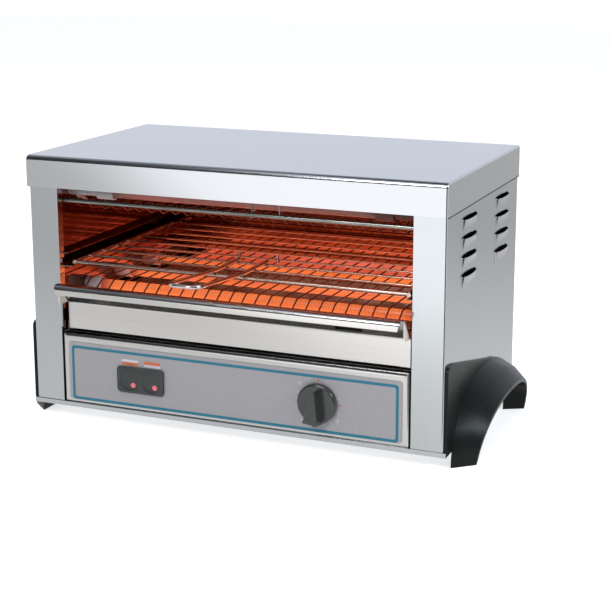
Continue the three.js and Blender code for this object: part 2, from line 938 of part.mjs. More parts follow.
function trayPan() {
  const outer = box(-trayHalf, trayHalf, trayPanFront, trayRear, trayUnderside, trayRim);
  const reach = trayHalf - sheet;
  const inner = box(
    -reach,
    reach,
    trayPanFront + sheet,
    trayRear - sheet,
    trayUnderside + sheet,
    trayRim + overrun,
  );
  return cut(outer, [inner]);
}

function trayFront() {
  const section = folded(
    [
      [trayFrontFace, trayUnderside],
      [trayFrontFace, lipFoot, lipBend],
      [lipCrest, lipTop],
      [lipNose, lipTop, lipNoseRound],
      [lipNose, lipTop - lipHem],
    ],
    -sheet,
  );
  const slotRight = lipHalf - lipSlotInset;
  const slotFoot = lipFoot + lipSlotLift;
  const slotTop = slotFoot + lipSlotHeight;
  const slot = box(slotRight - lipSlotWidth, slotRight, lipCrest, trayPanFront, slotFoot, slotTop);
  return cut(alongX(section, -lipHalf, lipHalf), [slot]);
}

// Runner under and beside the right edge of the tray
function trayRunner() {
  const web = trayHalf + runnerClearance;
  const shelf = trayUnderside - gap;
  const section = outline([
    [web - runnerShelf, shelf - sheet],
    [web, shelf - sheet],
    [web, wallFoot],
    [web + sheet, wallFoot],
    [web + sheet, wallFoot + runnerHeight],
    [web, wallFoot + runnerHeight],
    [web, shelf],
    [web - runnerShelf, shelf],
  ]);
  return alongY(section, trayPanFront, trayRear);
}

// Rack: side bars, a thick front bar and thinner rods, welded
function grillRack() {
  const pitch = (rackRear - rackFront) / (rackBars - 1);
  const rods = Array.from({ length: rackBars - 1 }, (_, i) => {
    const y = rackFront + (i + 1) * pitch;
    return alongX(disc(y, rackZ + rackRodRise, rackRodRadius, 6), -rackHalf, rackHalf);
  });
  const frontBar = alongX(disc(rackFront, rackZ, frontBarRadius, 8), -rackHalf, rackHalf);
  const reach = sideBarRadius;
  const sideBars = [-rackHalf, rackHalf].map((x) =>
    alongY(disc(x, rackZ, sideBarRadius, 8), rackFront - reach, rackRear + reach),
  );
  return joined([...sideBars, frontBar, ...rods]);
}

// Handle: a U of wire that lies on the front bar and hooks over the third one
function rackHandle() {
  const pitch = (rackRear - rackFront) / (rackBars - 1);
  const hookY = rackFront + 2 * pitch;
  const overRod = rackZ + rackRodRise + rackRodRadius + gap + handleRadius;
  const behindRod = hookY + rackRodRadius + gap + handleRadius;
  const front = -handleReach;
  const tip = overRod + handleRise;
  const left = handleX - handleHalf;
  const rightSide = handleX + handleHalf;
  const corners = [
    [left, behindRod, overRod - handleClip],
    [left, behindRod, overRod],
    [left, rackFront, overRod],
    [left, front, tip],
    [rightSide, front, tip],
    [rightSide, rackFront, overRod],
    [rightSide, behindRod, overRod],
    [rightSide, behindRod, overRod - handleClip],
  ].map((corner) => new THREE.Vector3(...corner));
  return bentWire(corners, handleBend, handleRadius, 6);
}

// Rail that carries the rack's right side bar
function rackRail() {
  const shelfTop = rackZ - sideBarRadius - gap;
  const shelfEdge = rackHalf - railCover;
  const topEdge = rackHalf + railLipClearance;
  const section = outline([
    [shelfEdge, shelfTop - sheet],
    [railHalf, shelfTop - sheet],
    [railHalf, shelfTop + railHeight],
    [topEdge, shelfTop + railHeight],
    [topEdge, shelfTop + railHeight - sheet],
    [railHalf - sheet, shelfTop + railHeight - sheet],
    [railHalf - sheet, shelfTop],
    [shelfEdge, shelfTop],
  ]);
  return alongY(section, railFront, railRear);
}

// Quartz elements: a tube round a coil, in a ceramic cap at each end that plugs into the wall
function quartzTube(y, z, capInner) {
  const reach = capInner + capSocket - gap;
  return turnedAlongX(
    [
      [elementBore, -reach],
      [elementRadius, -reach],
      [elementRadius, reach],
      [elementBore, reach],
      [elementBore, -reach],
    ],
    elementSides,
    y,
    z,
  );
}

// The coil, with a terminal pin at each end that runs through the caps
function heatingCoil(y, z, capInner) {
  const reach = capInner + capSocket - gap;
  const end = chamberHalf + capTail + pinReach;
  return turnedAlongX(
    [
      [0, -end],
      [pinRadius, -end],
      [pinRadius, -reach],
      [coilRadius, -reach],
      [coilRadius, reach],
      [pinRadius, reach],
      [pinRadius, end],
      [0, end],
    ],
    elementSides,
    y,
    z,
  );
}

function ceramicCap(y, z, capInner) {
  const tail = chamberHalf + capTail;
  return turnedAlongX(
    [
      [elementRadius + gap, capInner],
      [capRadius, capInner],
      [capRadius, capInner + capLength],
      [capNeckRadius, capInner + capLength],
      [capNeckRadius, tail],
      [capBore, tail],
      [capBore, capInner + capSocket],
      [elementRadius + gap, capInner + capSocket],
      [elementRadius + gap, capInner],
    ],
    elementSides,
    y,
    z,
  );
}

// Guards: wires from front to back, their front ends bent away from the rack, welded to three
// rods that end at the chamber walls
function guard(z, bendY, bend, railRadius) {
  const count = Math.floor((2 * guardHalf) / guardPitch);
  const path = [
    [guardFront, z + bend],
    [bendY, z],
    [guardRear, z],
  ];
  const side = folded(path, 2 * guardWireRadius);
  const wires = Array.from({ length: count + 1 }, (_, i) => {
    const x = (i - count / 2) * guardPitch;
    return alongX(side, x - guardWireRadius, x + guardWireRadius);
  });
  const reach = chamberHalf - gap;
  const rail = alongX(disc(guardFront, z + bend, railRadius, 8), -reach, reach);
  const rods = [elementMiddle, guardRear].map((y) =>
    alongX(disc(y, z, guardRodRadius, 4), -reach, reach),
  );
  return [...wires, rail, ...rods];
}

function lowerGuard() {
  return joined(guard(lowerGuardZ, lowerGuardBendY, -lowerGuardDrop, guardRodRadius));
}

function upperGuard() {
  const rail = upperGuardZ + upperGuardRise;
  const hangers = [hangerX - hangerHalf, hangerX + hangerHalf].map((x) =>
    alongZ(disc(x, guardFront, guardWireRadius, 6), rail, ceilingHangerTop()),
  );
  return joined([...guard(upperGuardZ, upperGuardBendY, upperGuardRise, guardRailRadius), ...hangers]);
}

function ceilingHangerTop() {
  const slope = ceilingShoulderRise / ceilingShoulderDepth;
  const drop = chamberTop - ceilingShoulderRise + slope * (guardFront - ceilingFront);
  return drop - sheet - guardWireRadius;
}

// Terminal block and cable gland
function terminalBlock() {
  const front = blockY;
  const block = box(blockX, blockX + blockLength, front, front + blockDepth, 0, blockHeight);
  const middles = [-1, 0, 1].map((step) => blockX + blockLength / 2 + step * blockPitch);
  const holes = middles.map((x) =>
    alongY(disc(x, blockHeight / 2, blockHole, 10), front - overrun, front + blockDepth + overrun),
  );
  return cut(block, holes);
}

function cableGland() {
  const inner = rearFace - sheet - gap;
  const outer = rearFace + gap;
  return turnedAlongY(
    [
      [glandBore, inner - glandNutThick - glandTail],
      [glandThread, inner - glandNutThick - glandTail],
      [glandThread, inner - glandNutThick],
      [glandFlange, inner - glandNutThick],
      [glandFlange, inner],
      [glandThread, inner],
      [glandThread, outer],
      [glandFlange, outer],
      [glandFlange, outer + glandFlangeThick],
      [glandDome, outer + glandFlangeThick],
      [glandDome, outer + glandReach - glandFlangeThick],
      [glandThread, outer + glandReach],
      [glandBore, outer + glandReach],
      [glandBore, inner - glandNutThick - glandTail],
    ],
    12,
    glandX,
    glandZ,
  );
}

const footInner = half + gap;

// Foot: an arched fender that springs from a plate on the side panel
function archPoint(angle, halfSpan, rise, power) {
  const cosine = Math.cos(angle);
  const sine = Math.sin(angle);
  const y = archMiddle - halfSpan * Math.sign(cosine) * Math.abs(cosine) ** power;
  return [y, rise * Math.max(sine, 0) ** power - footHeight];
}

function innerArchPoint(angle) {
  return archPoint(angle, innerArchHalf, innerArchRise, innerArchPower);
}

function soleArchPoint(angle) {
  return archPoint(angle, soleArchHalf, soleArchRise, soleArchPower);
}

function outerArchPoint(angle, inset) {
  return archPoint(angle, outerArchHalf - inset, outerArchRise - inset, outerArchPower);
}

// One section of the fender: its skin from the body to the rim, and its underside back again
function footSection(step) {
  const angle = (Math.PI * step) / archSteps;
  const innerX = half + archInset;
  const rim = outerArchPoint(angle, 0);
  const outerX = half + outerArchReach + outerArchFlare * (rim[1] + footHeight);
  return {
    skin: new THREE.Vector3(innerX, ...innerArchPoint(angle)),
    rim: new THREE.Vector3(outerX, ...rim),
    underRim: new THREE.Vector3(outerX, ...outerArchPoint(angle, archWall)),
    under: new THREE.Vector3(innerX, ...soleArchPoint(angle)),
    swell: archSwell * Math.sin(angle),
  };
}

function footFender() {
  const rings = Array.from({ length: archSteps + 1 }, (_, step) => {
    const { skin, rim, underRim, under, swell } = footSection(step);
    const bulge = skin.clone().lerp(rim, 0.5).add(new THREE.Vector3(swell, 0, swell));
    return [skin, bulge, rim, underRim, underRim.clone().lerp(under, 0.5), under];
  });
  return loft(rings);
}

// The fender is moulded hollow, open towards the body, with closed soles
function footHollow() {
  const rings = Array.from({ length: archSteps - 1 }, (_, i) => {
    const { skin, rim, underRim, under } = footSection(i + 1);
    const wallPair = (share) => {
      const above = skin.clone().lerp(rim, share);
      const below = under.clone().lerp(underRim, share);
      const wall = below.clone().sub(above).setLength(footShell);
      return [above.add(wall), below.sub(wall)];
    };
    const [mouthHigh, mouthLow] = wallPair(0);
    const [deepHigh, deepLow] = wallPair(footHollowShare);
    mouthHigh.x -= overrun;
    mouthLow.x -= overrun;
    return [mouthHigh, deepHigh, deepLow, mouthLow];
  });
  return loft(rings);
}

function foot() {
  const archLine = Array.from({ length: archSteps + 1 }, (_, i) => {
    const angle = (Math.PI * i) / archSteps;
    return innerArchPoint(angle);
  }).filter(([y, z]) => y > archMiddle + footPlateRun && z > 0);
  const section = outline([
    [footPlateFront, gap],
    [archLine.at(-1)[0], gap],
    ...archLine.reverse(),
    [footPlateKneeY, footPlateKneeZ, footCorner],
    [footPlateFront, footPlateTop, footCorner],
  ]);
  const plateOuter = footInner + footPlateThick + gap;
  const plate = alongX(section, footInner, plateOuter);
  const pilots = footScrewPlaces.map(([y, z]) =>
    alongX(disc(y, z, screwHole, 6), footInner - overrun, footInner + footPlateThick - sheet + gap),
  );
  return cut(joined([cut(footFender(), [footHollow()]), plate]), pilots);
}

// Assembly
place("top_cover", topCover(), "steel");
bothSides("side_panel", sidePanel(), "steel");
place("rear_panel", rearPanel(), "steel");
place("base_pan", basePan(), "steel");
bothSides("chamber_wall", chamberWall(), "mirror");
place("chamber_rear_wall", chamberRearWall(), "mirror");
place("ceiling_reflector", ceilingReflector(), "mirror");
place("control_deck", controlDeck(), "steel");
place("control_panel", controlPanel(), "steel");
place("panel_label", panelLabel(), "label");
place("switch_bezel", switchBezel(), "black");
place("timer_body", timerBody(), "timer");
place("timer_shaft", timerShaft(), "wire");
place("terminal_block", terminalBlock(), "ceramic");
place("cable_gland", cableGland(), "black");
bothSides("rack_rail", rackRail(), "dark");
bothSides("tray_runner", trayRunner(), "dark");
place("crumb_tray", trayPan(), "steel");
place("crumb_tray_front", trayFront(), "steel");
place("grill_rack", grillRack(), "wire");
place("rack_handle", rackHandle(), "wire");
place("lower_guard", lowerGuard(), "wire");
place("upper_guard", upperGuard(), "wire");
bothSides("foot", foot(), "foot");

for (const [side, x] of Object.entries(rockerPlaces)) {
  place(`switch_body_${side}`, switchBody(x), "black");
  const pivot = new THREE.Group();
  pivot.position.set(x, rockerPivotY, switchZ);
  pivot.rotation.x = rockerTilt;
  body.add(pivot);
  place(`rocker_${side}`, rocker(), "black", pivot);
  place(`pilot_lens_${side}`, pilotLens(), "lens", pivot);
}

const knobAxis = new THREE.Group();
knobAxis.position.set(timerX, knobBack, timerZ);
knobAxis.rotation.y = pointerTurn;
body.add(knobAxis);
place("timer_knob", timerKnob(), "black", knobAxis);

for (const [bank, { z, rows, cap }] of Object.entries(banks)) {
  for (const [row, y] of Object.entries(rows)) {
    place(`quartz_tube_${bank}_${row}`, quartzTube(y, z, cap), "quartz");
    place(`heating_coil_${bank}_${row}`, heatingCoil(y, z, cap), "glow");
    bothSides(`ceramic_cap_${bank}_${row}`, ceramicCap(y, z, cap), "ceramic");
  }
}

// The part's origin is on the surface it stands on, under the middle of its outer box
const frontReach = -handleReach - handleRadius;
const rearReach = rearFace + gap + glandReach;
body.position.set(0, -(frontReach + rearReach) / 2, footHeight);

export default toaster;
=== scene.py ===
# %% [markdown]
# # A countertop toaster with an open front
# The solids of this toaster come from the part's own drawing and stay where they are. This lesson
# gives them their finish: folded steel sheets with soft edges, welded wire racks, glowing quartz
# tubes, a printed label, a moulded knob and moulded feet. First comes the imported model, which is
# the frame that everything else is fitted to.

# %% Load the frame
import json
import math

import bpy
from mathutils import Matrix, Vector

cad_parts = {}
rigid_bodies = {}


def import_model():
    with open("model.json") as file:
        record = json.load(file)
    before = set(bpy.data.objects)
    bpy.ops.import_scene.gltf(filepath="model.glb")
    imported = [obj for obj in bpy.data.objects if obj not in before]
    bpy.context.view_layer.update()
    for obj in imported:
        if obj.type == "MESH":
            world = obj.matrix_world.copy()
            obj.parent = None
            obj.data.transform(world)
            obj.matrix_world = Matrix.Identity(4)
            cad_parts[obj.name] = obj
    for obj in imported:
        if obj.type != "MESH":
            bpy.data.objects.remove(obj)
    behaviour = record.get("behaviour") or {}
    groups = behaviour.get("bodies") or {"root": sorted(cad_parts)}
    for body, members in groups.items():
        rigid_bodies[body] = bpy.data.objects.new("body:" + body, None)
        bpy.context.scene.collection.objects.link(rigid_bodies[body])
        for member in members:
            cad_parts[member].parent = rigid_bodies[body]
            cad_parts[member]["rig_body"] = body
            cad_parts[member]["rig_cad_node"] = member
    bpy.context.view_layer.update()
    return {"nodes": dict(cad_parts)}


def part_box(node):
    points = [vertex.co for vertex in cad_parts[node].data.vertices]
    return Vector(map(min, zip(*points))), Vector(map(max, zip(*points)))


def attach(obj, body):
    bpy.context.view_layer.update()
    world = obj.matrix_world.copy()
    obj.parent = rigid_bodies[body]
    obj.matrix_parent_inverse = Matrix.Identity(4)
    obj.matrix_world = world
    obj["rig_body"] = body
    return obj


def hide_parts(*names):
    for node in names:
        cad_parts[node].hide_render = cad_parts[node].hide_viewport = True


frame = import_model()
nodes = frame["nodes"]

# %% [markdown]
# The drawing counts in millimetres from the front face of the pillars (y) and from the underside of
# the body (z), with x = 0 in the middle. Two small helpers go from the drawing to Blender's metres
# and back, so that every number below can be checked with a ruler on the real toaster.

# %% Millimetres of the drawing
mm = 0.001
pillar_low, pillar_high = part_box("side_panel_right")
front_y, under_z = pillar_low.y, pillar_low.z


def at(x, y, z):
    return Vector((x * mm, front_y + y * mm, under_z + z * mm))


def spot(point):
    return Vector((point.x / mm, (point.y - front_y) / mm, (point.z - under_z) / mm))


print("pillar front", round(front_y, 4), "underside", round(under_z, 4))

# %% [markdown]
# The camera stands to the right of the toaster and a little above it. Its angles come from fitting
# the corners of the body, and the small shift keeps the uprights closer to vertical, as a product
# photographer does with a shift lens.

# %% Camera
camera_turn = math.radians(22.626)
camera_rise = math.radians(12.280)
camera_roll = math.radians(-0.069)
camera_distance = 1.7407
camera_target = at(54.4, 100, 197.8)
toward_camera = Vector((
    math.sin(camera_turn) * math.cos(camera_rise),
    -math.cos(camera_turn) * math.cos(camera_rise),
    math.sin(camera_rise),
))
bpy.ops.object.camera_add(location=camera_target + toward_camera * camera_distance)
camera = bpy.context.object
camera.name = "photo_camera"
aim = toward_camera.to_track_quat("Z", "Y").to_matrix()
camera.rotation_euler = (aim @ Matrix.Rotation(camera_roll, 3, "Z")).to_euler()
camera.data.lens = 86.85
camera.data.shift_y = -0.10
bpy.context.scene.camera = camera
print("camera", [round(v, 3) for v in camera.location])

# %% [markdown]
# Polished steel shows its surroundings, so the room is built for it. The eye sees plain white. In
# front, the metal sees a dark room with a white strip high up at the right, and a dark patch right
# overhead. The lid's front bend mirrors that as a dark line that splits round a bright one. Behind
# the toaster the white is low, for the lid's top. Dull surfaces get the same light from all round.

# %% World
fill_level = 0.5
sky_tint, plain_white = (0.86, 0.905, 1, 1), (1, 1, 1, 1)
scene = bpy.context.scene
scene.view_settings.view_transform = "Standard"
world = bpy.data.worlds.new("white_room")
scene.world = world


def wire(tree, kind, *feeds, **settings):
    """Adds a shader node and feeds its inputs with numbers or with other nodes' outputs."""
    made = tree.nodes.new("ShaderNode" + kind)
    for key, value in settings.items():
        setattr(made, key, value)
    for socket, feed in feeds:
        if isinstance(feed, bpy.types.NodeSocket):
            tree.links.new(feed, made.inputs[socket])
        else:
            made.inputs[socket].default_value = feed
    return made


def reckon(tree, operation, *values):
    return wire(tree, "Math", *enumerate(values), operation=operation).outputs[0]


def ramp(tree, value, start, end, low=0.0, high=1.0):
    made = wire(
        tree, "MapRange", ("Value", value), ("From Min", start), ("From Max", end),
        ("To Min", low), ("To Max", high), interpolation_type="SMOOTHSTEP",
    )
    return made.outputs["Result"]


def between(tree, share, first, second):
    made = wire(tree, "Mix", ("Factor", share), ("A", first), ("B", second), data_type="FLOAT")
    return made.outputs[0]


def empty_tree(owner):
    owner.use_nodes = True
    owner.node_tree.nodes.clear()
    return owner.node_tree


room = empty_tree(world)
heading = wire(room, "TexCoord").outputs["Generated"]
along = wire(room, "SeparateXYZ", ("Vector", heading)).outputs
to_right = ramp(room, along["X"], -0.47, -0.37)
high_up = ramp(room, along["Z"], 0.50, 0.68)
front_part = ramp(room, reckon(room, "MULTIPLY", to_right, high_up), 0, 1, 0.05, 1.0)
back_part = ramp(room, along["Z"], 0.24, 0.85, 0.92, 0.42)
walls = between(room, ramp(room, along["Y"], -0.25, 0.10), front_part, back_part)
overhead = ramp(room, along["Z"], 0.86, 0.95, 1.0, 0.05)
seen_by_metal = reckon(room, "MULTIPLY", walls, overhead)
ray = wire(room, "LightPath").outputs
to_metal = between(room, ray["Is Glossy Ray"], fill_level, seen_by_metal)
direct = reckon(room, "MAXIMUM", ray["Is Camera Ray"], ray["Is Transmission Ray"])
strength = between(room, direct, to_metal, 1.0)
sky = wire(room, "Background", ("Color", sky_tint), ("Strength", strength))
white = wire(room, "Background", ("Color", plain_white), ("Strength", 1.0))
either = wire(room, "MixShader", (0, direct), (1, sky.outputs[0]), (2, white.outputs[0]))
wire(room, "OutputWorld", ("Surface", either.outputs[0]))
print("white room made, fill", fill_level)

# %% [markdown]
# The floor is matt white paper that keeps the toaster's shadow. Mirrors see a painted pool of light on it,
# laid out as under a soft box: bright in front, greyer to the left and behind, which gives the upright faces
# their slow change from grey to white, and a painted shade off the right corner, which draws the dark line
# along that fold.

# %% Floor
floor_size = 14
fold_x, fold_y = 0.26, -0.20
paper_tone = (0.86, 0.86, 0.87, 1)
bpy.ops.mesh.primitive_plane_add(size=floor_size, location=(0, 0, 0))
floor = bpy.context.object
floor.name = "floor"
paper = bpy.data.materials.new("white_paper")
sheet = empty_tree(paper)
ray = wire(sheet, "LightPath").outputs
place = wire(sheet, "TexCoord").outputs["Object"]
across = wire(sheet, "SeparateXYZ", ("Vector", place)).outputs
slant = reckon(sheet, "SUBTRACT", across["X"], reckon(sheet, "MULTIPLY", across["Y"], 0.8))
pool = ramp(sheet, slant, 0.10, 0.60)
far_off = ramp(sheet, pool, 0, 1, 0.70, 1.65)
close_by = ramp(sheet, pool, 0, 1, 0.88, 1.10)
in_front = between(sheet, ramp(sheet, across["Y"], -1.0, -0.25), far_off, close_by)
behind = ramp(sheet, across["Y"], 0.0, 1.3, 0.84, 0.56)
all_round = between(sheet, ramp(sheet, across["Y"], -0.2, 0.0), in_front, behind)
past_fold = reckon(sheet, "SUBTRACT", across["X"], fold_x)
before_fold = reckon(sheet, "SUBTRACT", fold_y, across["Y"])
bearing = reckon(sheet, "ARCTAN2", past_fold, before_fold)
shade_from = ramp(sheet, bearing, math.radians(-4), math.radians(10))
shade_to = ramp(sheet, bearing, math.radians(55), math.radians(85), 1.0, 0.0)
shade = ramp(sheet, reckon(sheet, "MULTIPLY", shade_from, shade_to), 0, 1, 1.0, 0.10)
# What mirrors see of the floor: a painted pool of light, with a painted shade off the right corner.
in_mirrors = reckon(sheet, "MULTIPLY", all_round, shade)
matt = wire(sheet, "BsdfDiffuse", ("Color", paper_tone)).outputs[0]
lifted = reckon(sheet, "MULTIPLY", ray["Is Camera Ray"], 0.60)
lift = wire(sheet, "Emission", ("Strength", lifted)).outputs[0]
lit = wire(sheet, "AddShader", (0, matt), (1, lift)).outputs[0]
mirrored = wire(sheet, "Emission", ("Strength", in_mirrors)).outputs[0]
both = wire(sheet, "MixShader", (0, ray["Is Glossy Ray"]), (1, lit), (2, mirrored))
wire(sheet, "OutputMaterial", ("Surface", both.outputs[0]))
floor.data.materials.append(paper)
print("floor made")

# %% [markdown]
# Three soft lamps light the dull surfaces: a tall one in front, which is also mirrored in the knob
# and the feet, a wide one overhead, and a small bluish one at the right for the side and its foot.
# Two red-orange ones stand for the heat that fills the chamber.

# %% Lamps
daylight, window_light, heat_light = (1, 1, 1), (0.82, 0.93, 1.0), (1.0, 0.22, 0.10)


def soft_lamp(name, place, aim_at, width, height, watts, colour=daylight):
    bpy.ops.object.light_add(type="AREA", location=place)
    lamp = bpy.context.object
    lamp.name = name
    lamp.data.shape = "RECTANGLE"
    lamp.data.size = width
    lamp.data.size_y = height
    lamp.data.energy = watts
    lamp.data.color = colour
    lamp.rotation_euler = (place - aim_at).to_track_quat("Z", "Y").to_euler()
    print(name, watts, "W")
    return lamp


soft_lamp("front_lamp", Vector((-0.15, -1.7, 1.35)), Vector((0, 0, 0.15)), 0.85, 0.55, 16)
over = soft_lamp("top_lamp", Vector((0.2, 0.1, 2.2)), Vector((0, 0, 0.2)), 1.8, 1.4, 24)
over.visible_glossy = False
low_right = Vector((0.28, -0.1, 0.05))
soft_lamp("side_lamp", Vector((1.5, -0.25, 0.95)), low_right, 0.6, 0.4, 9, window_light)
for name, level, aim_level, watts in (("lower_glow", 118, 300, 0.38), ("upper_glow", 264, 0, 0.14)):
    glow = soft_lamp(name, at(0, 150, level), at(0, 150, aim_level), 0.40, 0.20, watts, heat_light)
    glow.visible_camera = False

# %% [markdown]
# ## Finishes
# Effects that several materials share are node groups, built once. Each only puts out values that
# change over the surface; the shader stays in the material. Its inputs are a place and, mostly, a
# scale.

# %% Helper for node groups
FLOAT, VECTOR, NOISE = "NodeSocketFloat", "NodeSocketVector", "TexNoise"


def new_group(name, usual_scale, outputs):
    group = bpy.data.node_groups.new(name, "ShaderNodeTree")
    sockets = group.interface
    sockets.new_socket(name="Vector", in_out="INPUT", socket_type=VECTOR)
    if usual_scale:
        scale = sockets.new_socket(name="Scale", in_out="INPUT", socket_type=FLOAT)
        scale.default_value = usual_scale
    for label in outputs:
        sockets.new_socket(name=label, in_out="OUTPUT", socket_type=FLOAT)
    ins = group.nodes.new("NodeGroupInput").outputs
    return group, ins, group.nodes.new("NodeGroupOutput").inputs


print("group helper ready")

# %% [markdown]
# Brushed steel is sanded in one direction, which leaves long fine scratches. Noise that is
# stretched along the grain gives them: fine lines over broader streaks.

# %% Group: brushed lines
brushed_lines, ins, outs = new_group("brushed_lines", None, ["Shade", "Height"])
place = ("Vector", ins["Vector"])
fine = wire(brushed_lines, NOISE, place, ("Scale", 1.0), ("Detail", 3.0), ("Roughness", 0.6))
broad = wire(brushed_lines, NOISE, place, ("Scale", 0.16), ("Detail", 2.0))
fine_part = reckon(brushed_lines, "MULTIPLY", fine.outputs["Fac"], 0.6)
broad_part = reckon(brushed_lines, "MULTIPLY", broad.outputs["Fac"], 0.4)
brushed_lines.links.new(reckon(brushed_lines, "ADD", fine_part, broad_part), outs["Shade"])
brushed_lines.links.new(fine.outputs["Fac"], outs["Height"])
print(brushed_lines.name, len(brushed_lines.nodes), "nodes")

# %% [markdown]
# Nothing in a kitchen is evenly clean. Slow, cloudy noise stands for wiping marks and a thin film
# of grease; it changes how sharply the steel mirrors, and its colour only a little.

# %% Group: wiping marks
wiping_marks, ins, outs = new_group("wiping_marks", 7.0, ["Mask"])
cloud = wire(
    wiping_marks, NOISE, ("Vector", ins["Vector"]), ("Scale", ins["Scale"]),
    ("Detail", 4.0), ("Roughness", 0.55), ("Distortion", 0.6),
)
spread = wire(
    wiping_marks, "MapRange", ("Value", cloud.outputs["Fac"]),
    ("From Min", 0.35), ("From Max", 0.7),
)
wiping_marks.links.new(spread.outputs["Result"], outs["Mask"])
print(wiping_marks.name, "ready")

# %% [markdown]
# Moulded plastic copies the fine spark-eroded skin of its mould: a dense, shallow grain.

# %% Group: mould grain
mould_grain, ins, outs = new_group("mould_grain", 900.0, ["Shade", "Height"])
feeds = [("Vector", ins["Vector"]), ("Scale", ins["Scale"])]
pits = wire(mould_grain, NOISE, *feeds, ("Detail", 2.0))
cells = wire(mould_grain, "TexVoronoi", *feeds, feature="F1")
mould_grain.links.new(pits.outputs["Fac"], outs["Shade"])
mould_grain.links.new(cells.outputs["Distance"], outs["Height"])
print(mould_grain.name, "ready")

# %% [markdown]
# A material starts with a Principled shader and the piece's Object coordinates. Its constants are
# set on the shader's own sockets; the groups only add what varies. Each kind of finish is one
# function, called for every row of a table, and a piece later asks for its finish by name.

# %% Starting a material


def new_material(name, metallic, roughness, colour, own=()):
    material = bpy.data.materials.new(name)
    material.diffuse_color = (*colour, 1)
    tree = empty_tree(material)
    shader = wire(
        tree, "BsdfPrincipled", ("Metallic", metallic), ("Roughness", roughness),
        ("Base Color", (*colour, 1)), *own,
    )
    wire(tree, "OutputMaterial", ("Surface", shader.outputs[0]))
    return tree, shader.inputs


def object_place(tree, scale=(1, 1, 1)):
    coordinates = wire(tree, "TexCoord").outputs["Object"]
    return wire(tree, "Mapping", ("Vector", coordinates), ("Scale", scale)).outputs[0]


def use_group(tree, group, place, *feeds):
    return wire(tree, "Group", ("Vector", place), *feeds, node_tree=group).outputs


def blend_colour(tree, factor, dark, light):
    feeds = (0, factor), (6, (*dark, 1)), (7, (*light, 1))
    return wire(tree, "Mix", *feeds, data_type="RGBA").outputs[2]


def bump(tree, shader, height, strength, depth):
    feeds = ("Height", height), ("Strength", strength), ("Distance", depth)
    tree.links.new(wire(tree, "Bump", *feeds).outputs["Normal"], shader["Normal"])


print("material helpers ready")

# %% [markdown]
# All the outer sheets are the same stainless steel, brushed along their length. Only the direction of the
# grain and the tone differ a little from sheet to sheet. The tones are partly painted reflection: the bluish
# tone of the lid and the side sheets, and the lighter, creamier tone of the tray's apron, stand for the
# light that these sheets mirror.

# %% Brushed steel
grain_scale = {"x": (14, 800, 800), "y": (800, 14, 800), "z": (800, 800, 14)}


def brushed_steel(name, along, tone, roughness):
    tree, shader = new_material(name, 1.0, roughness, tone)
    lines = use_group(tree, brushed_lines, object_place(tree, grain_scale[along]))
    marks = use_group(tree, wiping_marks, object_place(tree), ("Scale", 6.0))
    dark, light = ([min(c * level, 1) for c in tone] for level in (0.95, 1.05))
    tree.links.new(blend_colour(tree, lines["Shade"], dark, light), shader["Base Color"])
    from_lines = reckon(tree, "MULTIPLY_ADD", lines["Shade"], 0.08, roughness - 0.05)
    from_marks = reckon(tree, "MULTIPLY", marks["Mask"], 0.03)
    tree.links.new(reckon(tree, "ADD", from_lines, from_marks), shader["Roughness"])
    bump(tree, shader, lines["Height"], 0.06, 0.00002)


# Painted reflection in the tones: bluish on lid_steel and side_steel, lighter and creamier on apron_steel.
steel_rows = [
    ("lid_steel", "x", (0.56, 0.575, 0.60), 0.14),
    ("side_steel", "z", (0.505, 0.53, 0.55), 0.14),
    ("front_steel", "x", (0.60, 0.595, 0.585), 0.15),
    ("apron_steel", "x", (0.66, 0.645, 0.63), 0.17),
    ("rear_steel", "x", (0.46, 0.46, 0.47), 0.30),
    ("inner_steel", "y", (0.36, 0.35, 0.34), 0.34),
]
for row in steel_rows:
    brushed_steel(*row)
print("six sheets of brushed steel")

# %% [markdown]
# Steel that has been hot for years turns straw-coloured and brown. The chamber's walls are still mirrors,
# which is why the tubes show again in them, but warm and slightly dull ones. Their red cast is partly
# painted reflection of the tubes' glow, over the real brown of the heat.

# %% Heated steel


def heated_steel(name, pale, brown, roughness, scale=5.0, dulling=0.10):
    tree, shader = new_material(name, 1.0, roughness, pale)
    marks = use_group(tree, wiping_marks, object_place(tree, (1, 1, 1.6)), ("Scale", scale))
    # On the crumb tray, the pale side of this blend is partly painted reflection.
    tree.links.new(blend_colour(tree, marks["Mask"], pale, brown), shader["Base Color"])
    uneven = reckon(tree, "MULTIPLY_ADD", marks["Mask"], dulling, roughness - dulling / 3)
    tree.links.new(uneven, shader["Roughness"])


hot_rows = [
    # mirror_wall: real heat tint with a painted red reflection of the glow.
    ("mirror_wall", (0.47, 0.26, 0.22), (0.20, 0.085, 0.075), 0.05, 9.0, 0.06),
    ("rail_steel", (0.30, 0.19, 0.165), (0.13, 0.075, 0.065), 0.16, 12.0),
    # Crumbs and heat stains, with pale patches that are partly a painted reflection of the light between the
    # tubes.
    ("crumbed_tray", (0.66, 0.62, 0.58), (0.34, 0.27, 0.23), 0.36, 18.0),
    ("sooty_ceiling", (0.17, 0.075, 0.065), (0.09, 0.045, 0.04), 0.22),
    # Painted shade: the dark steel of the pocket behind the tray's slot.
    ("dark_rail", (0.14, 0.15, 0.14), (0.07, 0.065, 0.055), 0.34, 14.0),
    ("rack_wire", (0.62, 0.48, 0.42), (0.42, 0.30, 0.24), 0.24, 22.0),
    ("handle_wire", (0.72, 0.66, 0.62), (0.60, 0.50, 0.45), 0.16, 18.0),
    ("guard_wire", (0.20, 0.11, 0.085), (0.09, 0.045, 0.035), 0.36, 22.0),
    ("guard_rail_wire", (0.33, 0.335, 0.31), (0.19, 0.19, 0.175), 0.26, 22.0),
]
for row in hot_rows:
    heated_steel(*row)
print("heated steels ready")

